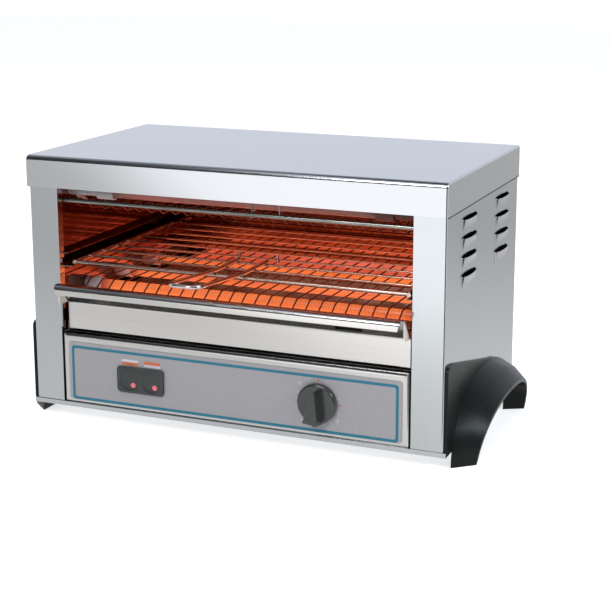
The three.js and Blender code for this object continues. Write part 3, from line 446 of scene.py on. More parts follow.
# %% [markdown]
# Plastics: satin black for the switches, a lacquered black for the knob, and a dark charcoal with
# little shine for the feet. Each one's grain is a depth and a scale.

# %% Plastics
fine_grain, coarse_grain, foot_grain = (0.00004, 1500), (0.00008, 900), (0.00010, 700)


def shine(level):
    return [("Specular IOR Level", level)]


def plastic(name, dark, light, roughness, strength, grain, own=()):
    tree, shader = new_material(name, 0.0, roughness, dark, own)
    depth, scale = grain
    skin = use_group(tree, mould_grain, object_place(tree), ("Scale", scale))
    marks = use_group(tree, wiping_marks, object_place(tree), ("Scale", 16.0))
    tree.links.new(blend_colour(tree, marks["Mask"], dark, light), shader["Base Color"])
    uneven = reckon(tree, "MULTIPLY_ADD", marks["Mask"], 0.10, roughness - 0.05)
    tree.links.new(uneven, shader["Roughness"])
    bump(tree, shader, skin["Height"], strength, depth)


lacquer = [("Coat Weight", 0.9), ("Coat Roughness", 0.12)]
plastic_rows = [
    ("switch_black", (0.044, 0.050, 0.047), (0.056, 0.062, 0.059), 0.42, 0.08, fine_grain, shine(0.3)),
    ("rocker_black", (0.038, 0.043, 0.040), (0.048, 0.053, 0.050), 0.34, 0.06, fine_grain, shine(0.35)),
    ("knob_black", (0.013, 0.016, 0.014), (0.021, 0.025, 0.022), 0.20, 0.06, fine_grain, lacquer),
    ("foot_charcoal", (0.008, 0.0092, 0.0085), (0.013, 0.0147, 0.0138), 0.30, 0.25, foot_grain, shine(0.14)),
    # This black also colours the painted shadow strip under the lid's rim.
    ("gland_black", (0.014, 0.014, 0.015), (0.024, 0.024, 0.025), 0.45, 0.2, coarse_grain),
    ("timer_case", (0.62, 0.58, 0.50), (0.70, 0.66, 0.58), 0.5, 0.2, coarse_grain),
]
for row in plastic_rows:
    plastic(*row)
print("plastics ready")

# %% [markdown]
# The pilot lenses are clear red plastic over a lamp, so a little red light comes out of them. The
# label, the inks and the ceramic are plain colours with a fine speckle.

# %% Lens, label, inks and ceramic


def speckled(name, dark, light, roughness, scale, own=()):
    tree, shader = new_material(name, 0.0, roughness, light, own)
    skin = use_group(tree, mould_grain, object_place(tree), ("Scale", scale))
    tree.links.new(blend_colour(tree, skin["Shade"], dark, light), shader["Base Color"])
    bump(tree, shader, skin["Height"], 0.1, 0.00005)


lamp_behind = [
    ("Coat Weight", 0.6), ("Emission Color", (0.80, 0.14, 0.17, 1)), ("Emission Strength", 0.20),
]
speckled_rows = [
    ("lens_red", (0.55, 0.09, 0.12), (0.70, 0.14, 0.18), 0.14, 600, lamp_behind),
    ("label_grey", (0.315, 0.302, 0.308), (0.37, 0.355, 0.362), 0.42, 420),
    ("teal_ink", (0.008, 0.14, 0.21), (0.014, 0.18, 0.26), 0.40, 500),
    ("white_ink", (0.58, 0.55, 0.61), (0.66, 0.63, 0.69), 0.40, 500),
    ("orange_ink", (0.56, 0.13, 0.05), (0.66, 0.18, 0.07), 0.40, 500),
    ("red_ink", (0.60, 0.05, 0.05), (0.70, 0.08, 0.07), 0.40, 500),
    # Painted shade and red glow: the upper right caps are the same white ceramic as the others.
    ("ceramic_warm", (0.17, 0.055, 0.045), (0.23, 0.08, 0.065), 0.5, 260),
    # Pale cream: partly painted light on the clips, which sit in the shade under the lid, and wholly painted
    # light on the tray's steel gussets.
    ("nickel_cream", (0.80, 0.72, 0.60), (0.90, 0.84, 0.74), 0.34, 200),
    ("ceramic_white", (0.66, 0.60, 0.57), (0.80, 0.76, 0.74), 0.42, 260),
]
for row in speckled_rows:
    speckled(*row)
print("lens, inks and ceramic ready")

# %% [markdown]
# A quartz tube glows where its coil runs and is dull at its ends. The glow is drawn along the tube
# (x): full over the coil with a faint beat from the turns and some milky patches, falling away
# before the caps.

# %% Glowing quartz


def glowing(name, body_tone, hot, cool, level, half_length):
    own = [("Emission Strength", level)]
    tree, shader = new_material(name, 0.0, 0.22, body_tone, own)
    place = object_place(tree)
    split = wire(tree, "SeparateXYZ", (0, place)).outputs
    from_middle = reckon(tree, "ABSOLUTE", split["X"])
    fall = ramp(tree, from_middle, half_length - 0.012, half_length + 0.010, 1.0, 0.0)
    feeds = ("Vector", place), ("Scale", 70.0), ("Distortion", 1.5), ("Detail", 1.0)
    turns = wire(tree, "TexWave", *feeds).outputs["Fac"]
    beat = reckon(tree, "MULTIPLY_ADD", turns, 0.22, 0.78)
    milk = use_group(tree, wiping_marks, object_place(tree, (6, 40, 40)), ("Scale", 1.0))
    patches = reckon(tree, "MULTIPLY_ADD", milk["Mask"], 0.50, 0.50)
    heat = reckon(tree, "MULTIPLY", reckon(tree, "MULTIPLY", fall, beat), patches)
    tree.links.new(blend_colour(tree, heat, cool, hot), shader["Emission Color"])
    pale = [min(c * 1.3, 1) for c in body_tone]
    tree.links.new(blend_colour(tree, milk["Mask"], body_tone, pale), shader["Base Color"])


lower_half, upper_half = 0.196, 0.156
glowing_rows = [
    ("quartz_hot", (0.20, 0.10, 0.07), (1.0, 0.205, 0.038), (0.22, 0.025, 0.012), 1.0, lower_half),
    ("quartz_dim", (0.22, 0.12, 0.10), (0.30, 0.06, 0.04), (0.05, 0.02, 0.015), 0.6, upper_half),
    ("coil_hot", (0.4, 0.2, 0.1), (1.0, 0.35, 0.08), (0.3, 0.05, 0.02), 1.6, lower_half + 0.004),
    ("coil_dim", (0.3, 0.2, 0.15), (0.45, 0.10, 0.04), (0.1, 0.03, 0.02), 0.8, upper_half + 0.004),
]
for row in glowing_rows:
    glowing(*row)
print("quartz and coils ready")

# %% [markdown]
# ## Modelling helpers
# Every new piece is started from a primitive at its true size and place, and then worked in edit
# mode. An operator acts on whatever is selected, so each helper leaves edit mode and clears the
# selection first, and then selects faces or edges by where they are, in the drawing's millimetres.

# %% Starting and selecting


def mode(name):
    bpy.ops.object.mode_set(mode=name)


def nothing_selected():
    if bpy.context.object and bpy.context.object.mode != "OBJECT":
        mode("OBJECT")
    bpy.ops.object.select_all(action="DESELECT")


def only(piece):
    nothing_selected()
    piece.select_set(True)
    bpy.context.view_layer.objects.active = piece


def settle(piece):
    only(piece)
    bpy.ops.object.transform_apply(location=True, rotation=True, scale=True)
    return piece


def fresh(name, scale=(1, 1, 1)):
    """Names the piece that was just added and gives it its size."""
    piece = bpy.context.object
    piece.name = name
    piece.scale = scale
    return settle(piece)


def block(name, low, high):
    nothing_selected()
    bpy.ops.mesh.primitive_cube_add(size=1, location=(low + high) / 2)
    return fresh(name, high - low)


def round_bar(name, start, end, radius, sides=16):
    nothing_selected()
    run = end - start
    bpy.ops.mesh.primitive_cylinder_add(
        vertices=sides, radius=radius * mm, depth=run.length, location=(start + end) / 2,
        rotation=run.to_track_quat("Z", "Y").to_euler(),
    )
    return fresh(name)


def bar_along_x(name, x0, x1, y, z, *form):
    return round_bar(name, at(x0, y, z), at(x1, y, z), *form)


def bar_along_y(name, y0, y1, x, z, *form):
    return round_bar(name, at(x, y0, z), at(x, y1, z), *form)


def bar_upright(name, z0, z1, x, y, *form):
    return round_bar(name, at(x, y, z0), at(x, y, z1), *form)


def pick(piece, kind, test):
    only(piece)
    mode("EDIT")
    bpy.ops.mesh.select_mode(type=kind)
    bpy.ops.mesh.select_all(action="DESELECT")
    mode("OBJECT")
    mesh = piece.data
    for item in mesh.polygons if kind == "FACE" else mesh.edges:
        if kind == "FACE":
            item.select = bool(test(spot(item.center), item.normal))
        else:
            a, b = (mesh.vertices[i].co for i in item.vertices)
            item.select = bool(test(spot((a + b) / 2), (b - a).normalized()))
    mode("EDIT")


def faces(piece, test):
    pick(piece, "FACE", test)


def edges(piece, test):
    pick(piece, "EDGE", test)


print("selection helpers ready")

# %% Moves in edit mode


def bevel(width, segments):
    bpy.ops.mesh.bevel(offset=width * mm, segments=segments, affect="EDGES")


def inset(width):
    bpy.ops.mesh.inset(thickness=width * mm)


def pull(x, y, z):
    bpy.ops.mesh.extrude_region_move(TRANSFORM_OT_translate={"value": (x * mm, y * mm, z * mm)})


def shift(x, y, z):
    bpy.ops.transform.translate(value=(x * mm, y * mm, z * mm))


def merge_doubles(gap=0.005):
    bpy.ops.mesh.select_all(action="SELECT")
    bpy.ops.mesh.remove_doubles(threshold=gap * mm)


def face_outward():
    bpy.ops.mesh.normals_make_consistent(inside=False)


print("edit-mode moves ready")

# %% Modifiers and shading


def with_modifier(piece, kind, **settings):
    only(piece)
    modifier = piece.modifiers.new(kind.lower(), kind)
    for key, value in settings.items():
        setattr(modifier, key, value)
    bpy.ops.object.modifier_apply(modifier=modifier.name)
    return piece


def soften(piece, width, segments=2, angle=32):
    return with_modifier(
        piece, "BEVEL", width=width * mm, segments=segments, limit_method="ANGLE",
        angle_limit=math.radians(angle), harden_normals=False,
    )


def smooth(piece, angle=35):
    only(piece)
    bpy.ops.object.shade_smooth_by_angle(angle=math.radians(angle))
    return with_modifier(piece, "WEIGHTED_NORMAL", weight=100, keep_sharp=True)


def cut_out(piece, *cutters):
    for cutter in cutters:
        with_modifier(piece, "BOOLEAN", operation="DIFFERENCE", object=cutter, solver="EXACT")
        bpy.data.objects.remove(cutter)


def as_one(name, pieces):
    only(pieces[0])
    for piece in pieces:
        piece.select_set(True)
    bpy.ops.object.join()
    bpy.context.object.name = name
    return bpy.context.object


def copied(piece, name):
    copy = piece.copy()
    copy.data = piece.data.copy()
    copy.name = name
    scene.collection.objects.link(copy)
    return copy


def twin(piece, name, move):
    copy = copied(piece, name)
    copy.location = move
    return settle(copy)


def turn_about(piece, pivot, angle, axis):
    turn = Matrix.Rotation(angle, 4, axis)
    piece.data.transform(Matrix.Translation(pivot) @ turn @ Matrix.Translation(-pivot))


def side_block(name, way, near, far, low, high):
    """A block on one side of the middle; low and high are its y and z."""
    low_x, high_x = sorted((way * near, way * far))
    return block(name, at(low_x, *low), at(high_x, *high))


sides = {"left": -1, "right": 1}
print("modifier and copy helpers ready")

# %% [markdown]
# The drawing's sheets have sharp edges and are stored as loose triangles. A copy of one is merged and
# cleared of the lines inside its flat faces, and then its edges can be rounded like a real folded sheet's.
# When a piece is ready, it is handed over: its finish, the solids that it stands for, and its body where
# that is a moving one.

# %% Copies of sheets, and handing over


def clear_flats(piece, gap, angle):
    """Merges points nearer than the gap and takes out lines where the faces are flat."""
    only(piece)
    mode("EDIT")
    bpy.ops.mesh.select_mode(type="VERT")
    merge_doubles(gap)
    bpy.ops.mesh.dissolve_limited(angle_limit=math.radians(angle))
    mode("OBJECT")


def copy_of(node, name):
    nothing_selected()
    piece = copied(nodes[node], name)
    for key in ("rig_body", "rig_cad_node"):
        del piece[key]
    piece.parent = None
    piece.matrix_world = Matrix.Identity(4)
    only(piece)
    bpy.ops.mesh.customdata_custom_splitnormals_clear()
    clear_flats(piece, 0.01, 0.5)
    return piece


BODY, STEEL = "toaster_body", "brushed_steel"


def hand_over(piece, finish, slot, *stands_for, body=BODY):
    only(piece)
    piece.data.materials.clear()
    piece.data.materials.append(bpy.data.materials[finish])
    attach(piece, body)
    if stands_for:
        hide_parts(*stands_for)
    print(piece.name, "faces", len(piece.data.polygons))


print("hand-over ready")

# %% [markdown]
# ## The lid
# The lid is one sheet folded down on four sides, with a rounded front edge and a small hem folded
# in at the front. A solid block that is hollowed from below gives that shell in few steps: its
# front edge is beveled, and its underside is inset by the sheet's thickness and pushed up.

# %% Fold the lid
gauge, hem, fold_radius = 1.2, 2.5, 2.6
lid_side, lid_front, lid_rear, rim_z, lid_z = 261.5, -4.5, 294.5, 263.5, 301
inner_front, inner_z, hem_z = -3.3, 299.8, 264.7
lid = block("top_cover_skin", at(-lid_side, lid_front, rim_z), at(lid_side, lid_rear, lid_z))
edges(lid, lambda p, d: p.y < lid_front + 0.5 and p.z > lid_z - 0.5)
bevel(6, 8)
faces(lid, lambda p, n: n.z < -0.9)
inset(gauge)
pull(0, 0, 36.3)
edges(lid, lambda p, d: abs(p.z - inner_z) < 0.1 and abs(p.y - inner_front) < 0.1 and abs(d.x) > 0.9)
bevel(6 - gauge, 8)
faces(lid, lambda p, n: n.y > 0.9 and p.y < 0)
bpy.ops.mesh.bisect(plane_co=at(0, 0, hem_z), plane_no=(0, 0, 1))
faces(lid, lambda p, n: n.y > 0.9 and p.y < 0 and p.z < hem_z)
pull(0, hem, 0)
edges(lid, lambda p, d: (abs(p.x) > lid_side - 0.1 or p.y > lid_rear - 0.1) and p.z > 264)
bevel(fold_radius, 6)
soften(lid, 0.4)
smooth(lid)
hand_over(lid, "lid_steel", STEEL, "top_cover")

# %% [markdown]
# ## Side and rear sheets
# Each side is one sheet that wraps round the front corner into the pillar. Its louvres are pressed
# out of it. These shapes are right in the drawing, so a merged copy is taken and only its edges are
# rounded: the front corner as wide as a press brake bends it, which mirrors as a thin dark line, and
# the cut edges just enough to catch the light.

# %% Round the folds of the sheets
corner_x = 260
for side in sides:
    panel = copy_of("side_panel_" + side, "side_skin_" + side)
    edges(panel, lambda p, d: abs(d.z) > 0.99 and p.y < 0.1 and abs(abs(p.x) - corner_x) < 0.1)
    bevel(fold_radius, 8)
    soften(panel, 0.35)
    smooth(panel)
    hand_over(panel, "side_steel", STEEL, "side_panel_" + side)
rear = smooth(soften(copy_of("rear_panel", "rear_skin"), 0.3))
hand_over(rear, "rear_steel", STEEL, "rear_panel")
pan = smooth(soften(copy_of("base_pan", "base_skin"), 0.3))
hand_over(pan, "side_steel", STEEL, "base_pan")

# %% [markdown]
# A thin dark strip under the lid's rim, between the lid and the side sheets, is a painted shadow: it stands
# for the shadow line there.

# %% Painted shadow strip under the lid's rim
for side, way in sides.items():
    shadow_strip = side_block("lid_shadow_strip_" + side, way, 259.6, 261.4, (1.5, 261.7), (293.5, 264))
    hand_over(smooth(soften(shadow_strip, 0.3)), "gland_black", "black_plastic")

# %% [markdown]
# ## The control panel
# A shallow tray of bright steel whose front edges are pressed back into a wide, flat slope. The
# front edges of a block are beveled in one step and the bevel's back edge is moved forward, then
# the back is hollowed, and the openings for the switches and the timer's shaft are cut.

# %% Press the panel
dial_x, dial_z, rocker_z = 112.5, 39.8, 38.6


def panel_openings():
    """The cutters of the switches' window and of the timer's shaft."""
    window = block("window_cutter", at(-142.5, -20, 24.6), at(-85.5, 20, 52.6))
    return window, bar_along_y("shaft_cutter", -20, 20, dial_x, dial_z, 3.5, 24)


face = block("control_face", at(-219.5, -0.9, 0.3), at(219.5, 11, 85.9))
edges(face, lambda p, d: p.y < -0.8)
bevel(5, 1)
edges(face, lambda p, d: abs(p.y - 4.1) < 0.1)
shift(0, -3.2, 0)
faces(face, lambda p, n: n.y > 0.98)
inset(gauge)
pull(0, -8.9, 0)
inset(4.6)
shift(0, -1.8, 0)
cut_out(face, *panel_openings())
soften(face, 0.5, 3, 25)
smooth(face, 30)
hand_over(face, "front_steel", STEEL, "control_panel")
sill = block("panel_sill", at(-217, 0.95, -0.25), at(217, 3, 0.27))
hand_over(smooth(soften(sill, 0.1)), "front_steel", STEEL)

# %% [markdown]
# ## The label and its printing
# The label is a thin grey plate. What is printed on it is ink, a tenth of a millimetre thick, so
# each printed shape is a very thin slab with rounded corners. The border is a slab with a smaller
# one cut out of it.

# %% Plate and border


def slab(name, x0, x1, z0, z1, front, back, radius, segments=5):
    piece = block(name, at(x0, front, z0), at(x1, back, z1))
    edges(piece, lambda p, d: abs(d.y) > 0.9)
    bevel(radius, segments)
    mode("OBJECT")
    return piece


plate = slab("label_plate", -212.5, 212.5, 4.5, 76.5, -1.7, -1.2, 4)
cut_out(plate, *panel_openings())
hand_over(smooth(plate), "label_grey", "label", "panel_label")
ink_front, ink_back = -1.8, -1.68
border = slab("label_border", -208.2, 208.6, 4.9, 72.2, ink_front, ink_back, 4)
cut_out(border, slab("border_cutter", -204.8, 205.2, 8.3, 68.8, -5, 5, 2.2))
hand_over(border, "teal_ink", "label")

# %% Signs over the switches
signs = [
    ("white", "left", -139.5, -117.5, 59.5, 62.4),
    ("orange", "left", -139.5, -117.5, 55.4, 59.4),
    ("white", "right", -109.5, -88, 55.7, 58.6),
    ("orange", "right", -109.5, -88, 58.7, 62.8),
]
for ink, side, x0, x1, z0, z1 in signs:
    strip = slab(f"sign_{ink}_{side}", x0, x1, z0, z1, ink_front, ink_back, 1.2)
    hand_over(strip, ink + "_ink", "label")

# %% [markdown]
# The dial round the knob is plain: a dot for each minute, numbers at every fifth, and a red mark at
# zero and at the quarter turn. The numbers are text, turned into meshes.

# %% Dial
first_turn, minute_turn = 36, 18.4
dots_radius, numbers_radius, number_size = 26.6, 30.5, 6


def on_dial(radius, minute):
    angle = math.radians(first_turn + minute * minute_turn if minute else 0)
    return dial_x + radius * math.sin(angle), dial_z + radius * math.cos(angle)


def dots(name, finish, radius, size, minutes):
    printed = []
    for minute in minutes:
        x, z = on_dial(radius, minute)
        printed.append(bar_along_y("dot", ink_front, ink_back, x, z, size, 12))
    hand_over(as_one(name, printed), finish, "label")


dots("dial_dots", "white_ink", dots_radius, 0.65, [minute for minute in range(1, 15) if minute % 5])
dots("dial_reds", "red_ink", dots_radius, 1.1, (0, 3))
for minute in (5, 10, 15):
    x, z = on_dial(numbers_radius, minute)
    nothing_selected()
    bpy.ops.object.text_add(location=at(x, ink_back, z), rotation=(math.radians(90), 0, 0))
    text = bpy.context.object.data
    text.body = str(minute)
    text.size = number_size * mm
    text.extrude = 0.06 * mm
    text.align_x = text.align_y = "CENTER"
    text.resolution_u = 3
    bpy.ops.object.convert(target="MESH")
    hand_over(fresh(f"dial_number_{minute}"), "white_ink", "label")

# %% [markdown]
# ## Switches
# A rounded black frame holds two round rocker switches, each with a red pilot lens. The frame is a
# slab with two holes. A rocker is a disc whose face is very slightly dished, nearly flush with the
# frame; it is tilted about its pivot like the solid that it stands for.

# %% Switch frame
rocker_x = {"left": -128.4, "right": -99.6}
bezel = slab("switch_frame", -145, -83, 22.6, 54.6, -5.2, -2.0, 4.5, 6)
for x in rocker_x.values():
    cut_out(bezel, bar_along_y("hole_cutter", -20, 20, x, rocker_z, 13.5, 64))
soften(bezel, 0.7, 3, 40)
smooth(bezel)
hand_over(bezel, "switch_black", "black_plastic", "switch_bezel")

# %% Rockers and lenses
pivot_y, tilt, face_y = -2.0, math.radians(7), -6.3
for side, x in rocker_x.items():
    pivot = at(x, pivot_y, rocker_z)
    rocker = bar_along_y("rocker_face_" + side, face_y, 3, x, rocker_z, 12.3, 64)
    edges(rocker, lambda p, d: p.y < -6.2)
    bevel(0.9, 3)
    faces(rocker, lambda p, n: n.y < -0.9)
    inset(0.8)
    inset(6.0)
    shift(0, 0.4, 0)
    smooth(rocker, 40)
    lens = bar_along_y("lens_glass_" + side, -7.0, -4.5, x + 5.6, 33, 3.3, 32)
    edges(lens, lambda p, d: p.y < -6.9)
    bevel(0.9, 4)
    smooth(lens, 60)
    for piece in (rocker, lens):
        turn_about(piece, pivot, tilt, "X")
    hand_over(rocker, "rocker_black", "black_plastic", "rocker_" + side, body="rocker_" + side)
    hand_over(lens, "lens_red", "red_lens", "pilot_lens_" + side, body="rocker_" + side)

# %% [markdown]
# ## The timer's knob
# A round skirt with a pointed beak, and across it a grip that widens towards the beak. It is built
# upright round the shaft, joined, and then turned to the place that it is set to.

# %% Mould the knob
knob_back, set_turn = -2.5, math.radians(186)
skirt = bar_along_y("knob_skin", -9.5, knob_back, dial_x, dial_z, 23.5, 96)
edges(skirt, lambda p, d: p.y < -9.4)
bevel(2.5, 5)
beak_z, grip_z = dial_z + 28.5, dial_z + 20.5
beak = block("beak", at(dial_x - 13.3, -7, dial_z + 10), at(dial_x + 13.3, knob_back, beak_z))
edges(beak, lambda p, d: p.z > beak_z - 0.5 and abs(d.y) > 0.9)
bpy.ops.transform.resize(value=(0.09, 1, 1), center_override=at(dial_x, 0, beak_z))
edges(beak, lambda p, d: abs(d.y) > 0.9 and p.z < dial_z + 11)
shift(0, 0, 9.4)
grip = block("grip", at(dial_x - 2.4, -23.5, dial_z - 16), at(dial_x + 2.4, -5, grip_z))
edges(grip, lambda p, d: p.z > grip_z - 0.5 and abs(d.y) > 0.9)
bpy.ops.transform.resize(value=(3.9, 1, 1), center_override=at(dial_x, 0, grip_z))
soften(grip, 1.5, 4, 30)
soften(beak, 0.8, 3, 30)
for part in (beak, grip):
    with_modifier(skirt, "BOOLEAN", operation="UNION", object=part, solver="EXACT")
    bpy.data.objects.remove(part)
cut_out(skirt, bar_along_y("bore_cutter", -15.5, 5, dial_x, dial_z, 3.3, 32))
turn_about(skirt, at(dial_x, knob_back, dial_z), set_turn, "Y")
smooth(skirt, 38)
hand_over(skirt, "knob_black", "knob_plastic", "timer_knob", body="timer_knob")

# %% [markdown]
# ## Following a path
# Folded sheets and bent wires are made the same way: an edge or a ring is carried along a path. A
# straight run is an extrude and a bend is a spin about the bend's centre, just as a bending machine
# forms them. The helper keeps the end selected, so that moves can follow each other.

# %% Runs and bends


class Tip:
    """The end that is being carried: where it is and which way it heads."""

    def __init__(self, place, heading):
        self.place = place.copy()
        self.heading = heading.normalized()

    def run(self, length):
        step = self.heading * length * mm
        bpy.ops.mesh.extrude_region_move(TRANSFORM_OT_translate={"value": step})
        self.place += step

    def wind(self, axis, degrees, radius, steps):
        axis = axis.normalized()
        centre = self.place + axis.cross(self.heading) * radius * mm
        angle = math.radians(degrees)
        bpy.ops.mesh.spin(steps=steps, angle=angle, center=centre, axis=-axis)
        turn = Matrix.Rotation(angle, 3, axis)
        self.place = centre + turn @ (self.place - centre)
        self.heading = turn @ self.heading

    def turn(self, new_heading, radius, steps=5):
        new_heading = new_heading.normalized()
        degrees = math.degrees(self.heading.angle(new_heading))
        self.wind(self.heading.cross(new_heading), degrees, radius, steps)

    def to(self, distance_left, radius, new_heading, steps=5):
        """Runs until a bend of this radius fits, then bends."""
        half_angle = self.heading.angle(new_heading) / 2
        self.run(distance_left - radius * math.tan(half_angle))
        self.turn(new_heading, radius, steps)
        return radius * math.tan(half_angle)


def ring(name, place, heading, radius, sides=12):
    nothing_selected()
    bpy.ops.mesh.primitive_circle_add(
        vertices=sides, radius=radius * mm, fill_type="NGON", location=place,
        rotation=heading.to_track_quat("Z", "Y").to_euler(),
    )
    piece = fresh(name)
    mode("EDIT")
    bpy.ops.mesh.select_mode(type="FACE")
    bpy.ops.mesh.select_all(action="SELECT")
    return piece, Tip(place, heading)


def close_wire(piece):
    merge_doubles()
    face_outward()
    return smooth(piece, 50)


print("path helpers ready")

# %% [markdown]
# ## Crumb tray
# The tray's front is one sheet: a flat apron, a slope, and a rounded nose that is folded down into a hem and
# serves as the handle. Its lower edge is carried along the section, and then the sheet gets its thickness. A
# slot for a fingertip is cut into the apron at the right, with a shallow pocket behind it whose dark steel
# is painted shade, and a small gusset stiffens the slope at each end; the gussets' pale cream is painted
# light on steel.

# %% Fold the tray's front
upright = (math.radians(90), 0, 0)
nothing_selected()
bpy.ops.mesh.primitive_plane_add(size=1, location=at(0, 10, 91), rotation=upright)
apron = fresh("tray_apron", (0.435, 0.002, 1))
edges(apron, lambda p, d: p.z > 91.5)
tip = Tip(at(0, 10, 92), Vector((0, 0, 1)))
slope = Vector((0, -22, 27))
used = tip.to(30, 4, slope, 6)
used = tip.to(slope.length - used, 2.4, Vector((0, -1, 0)), 6)
used = tip.to(12 - used, 4.5, Vector((0, 0, -1)), 8)
tip.run(10 - used)
merge_doubles()
with_modifier(apron, "SOLIDIFY", thickness=gauge * mm, offset=-1)
cut_out(apron, slab("slot_cutter", 129, 163, 125, 132, -20, 30, 2.5))
for way in sides.values():
    mitre = side_block("mitre_cutter", way, 216.5, 226, (-40, 132), (-20.5, 151))
    edges(mitre, lambda p, d: p.z < 133 and abs(d.y) > 0.9 and abs(p.x) < 217)
    shift(-way * 5, 0, 0)
    cut_out(apron, mitre)
soften(apron, 0.25, 2, 40)
smooth(apron, 35)
hand_over(apron, "apron_steel", STEEL, "crumb_tray_front", body="crumb_tray")
# The gussets are steel; their pale cream finish is painted light.
for side, way in sides.items():
    gusset = side_block("nose_gusset_" + side, way, 216.2, 217.4, (-12, 123.5), (6.8, 146))
    edges(gusset, lambda p, d: p.z > 145.5 and p.y > 6)
    shift(0, -17.6, 0)
    hand_over(smooth(soften(gusset, 0.25)), "nickel_cream", STEEL, body="crumb_tray")
# The pocket behind the slot is dark steel that stands for the shade inside it: painted shade.
pocket = block("slot_pocket", at(127.5, 11.4, 123.5), at(164.5, 19, 133.5))
faces(pocket, lambda p, n: n.y < -0.9)
inset(1.0)
pull(0, 6, 0)
hand_over(smooth(soften(pocket, 0.4)), "dark_rail", STEEL, body="crumb_tray")

# %% Press the tray's pan
tray = block("tray_pan", at(-216.5, 11.5, 90), at(216.5, 270, 112))
faces(tray, lambda p, n: n.z > 0.9)
inset(gauge)
pull(0, 0, -20.8)
soften(tray, 0.4)
smooth(tray)
# The pan's pale patches are partly painted reflection, partly crumbs.
hand_over(tray, "crumbed_tray", STEEL, "crumb_tray", body="crumb_tray")

# %% [markdown]
# ## The grill rack and its handle
# Nine rods are welded across two side bars. A rod is made once and copied along the rack. The
# handle is one wire, bent into a long U that hooks over the third rod and lies on the front bar.

# %% Weld the rack
rack_x, rack_z, rack_front, rack_pitch = 212, 170, 20.4, (268 - 20.4) / 8
bars = [bar_along_y("bar", 17.4, 271, x, rack_z, 3, 20) for x in (-rack_x, rack_x)]
bars.append(bar_along_x("bar", -rack_x, rack_x, rack_front, rack_z, 2.6, 20))
first_rod = bar_along_x("rod", -213.5, 213.5, 0, 172, 1.35, 14)
for i in range(1, 9):
    bars.append(twin(first_rod, "rod", (0, (rack_front + i * rack_pitch) * mm, 0)))
bpy.data.objects.remove(first_rod)
for bar in bars:
    soften(bar, 0.5, 2, 60)
rack = smooth(as_one("rack_grid", bars), 50)
hand_over(rack, "rack_wire", "chrome_wire", "grill_rack", body="grill_rack")

# %% Bend the handle
hook_y = rack_front + 2 * rack_pitch + 4.2
grip_x, lie_z = 25, 176.2
rise = Vector((0, -(100 + rack_front), 10))
handle, tip = ring("rack_grip", at(-grip_x, hook_y, lie_z - 7), Vector((0, 0, 1)), 2.3, 16)
used = tip.to(7, 2.6, Vector((0, -1, 0)), 5)
used = tip.to(hook_y - rack_front - used, 30, rise, 3)
used = tip.to(rise.length - used, 13, Vector((1, 0, 0)), 10)
used = tip.to(37 - used, 13, -rise, 10)
used = tip.to(rise.length - used, 30, Vector((0, 1, 0)), 3)
used = tip.to(hook_y - rack_front - used, 2.6, Vector((0, 0, -1)), 5)
tip.run(7 - used)
close_wire(handle)
hand_over(handle, "handle_wire", "chrome_wire", "rack_handle", body="grill_rack")
for side, way in sides.items():
    pin = bar_upright("handle_pin_" + side, lie_z - 2, lie_z + 8.5, way * grip_x, hook_y, 1.9)
    hand_over(smooth(soften(pin, 0.8, 3, 40), 40), "handle_wire", "chrome_wire", body="grill_rack")

# %% [markdown]
# ## Heater guards
# Wires run from front to back over the lower tubes and under the upper ones, so that no toast can
# touch the glass. One wire is bent, with its end hooked round the front rail, and copied across.

# %% Bend a guard wire
wire_count, wire_pitch = 28, 16
rail_x, rail_y, rear_y = 227.7, 15, 271


def guard(name, flat_z, bend_y, climb, rail_z, rail_radius, wrap):
    lift = Vector((0, -math.cos(math.radians(climb)), math.sin(math.radians(climb))))
    first, tip = ring(name, at(0, rear_y, flat_z), Vector((0, -1, 0)), 0.9, 8)
    tip.to(rear_y - bend_y, 6, lift, 4)
    around = rail_radius + 1.1
    touch = at(0, rail_y, rail_z) + Vector((1, 0, 0)).cross(lift) * -around * mm
    tip.run((touch - tip.place).dot(tip.heading) / mm)
    tip.wind(Vector((1, 0, 0)), wrap, around, 9)
    close_wire(first)
    middle = (wire_count - 1) / 2
    wires = [twin(first, name, ((i - middle) * wire_pitch * mm, 0, 0)) for i in range(wire_count)]
    bpy.data.objects.remove(first)
    for y in (146, rear_y):
        rod = bar_along_x("rod", -rail_x, rail_x, y, flat_z - 1.1, 2, 12)
        wires.append(smooth(rod, 50))
    return as_one(name, wires)


lower_rail_z, upper_rail_z = 133, 246
lower = guard("lower_guard_wires", 148.1, 34, -31.1, lower_rail_z, 2.0, 120)
rail = smooth(bar_along_x("rail", -rail_x, rail_x, rail_y, lower_rail_z, 2.0), 50)
lower = as_one("lower_guard_wires", [lower, rail])
hand_over(lower, "guard_wire", "hot_wire", "lower_guard")
upper = guard("upper_guard_wires", 233.1, 44, 31.0, upper_rail_z, 2.8, 70)
hand_over(upper, "guard_wire", "hot_wire", "upper_guard")

# %% The upper guard's front rail and hangers
rail = bar_along_x("upper_guard_rail", -rail_x, rail_x, rail_y, upper_rail_z, 2.8, 24)
hangers = [bar_upright("hanger", upper_rail_z, 275, x, rail_y, 1.1, 12) for x in (25, 59)]
front_rail = smooth(as_one("upper_guard_rail", [rail, *hangers]), 50)
hand_over(front_rail, "guard_rail_wire", "hot_wire")

# %% [markdown]
# ## Quartz tubes and their caps
# Three tubes below, three above. A tube is a hollow cylinder: the end of a solid one is inset and
# pushed through. Its ceramic cap is turned in steps, so it starts as a short cylinder whose end
# faces are inset and pulled out.

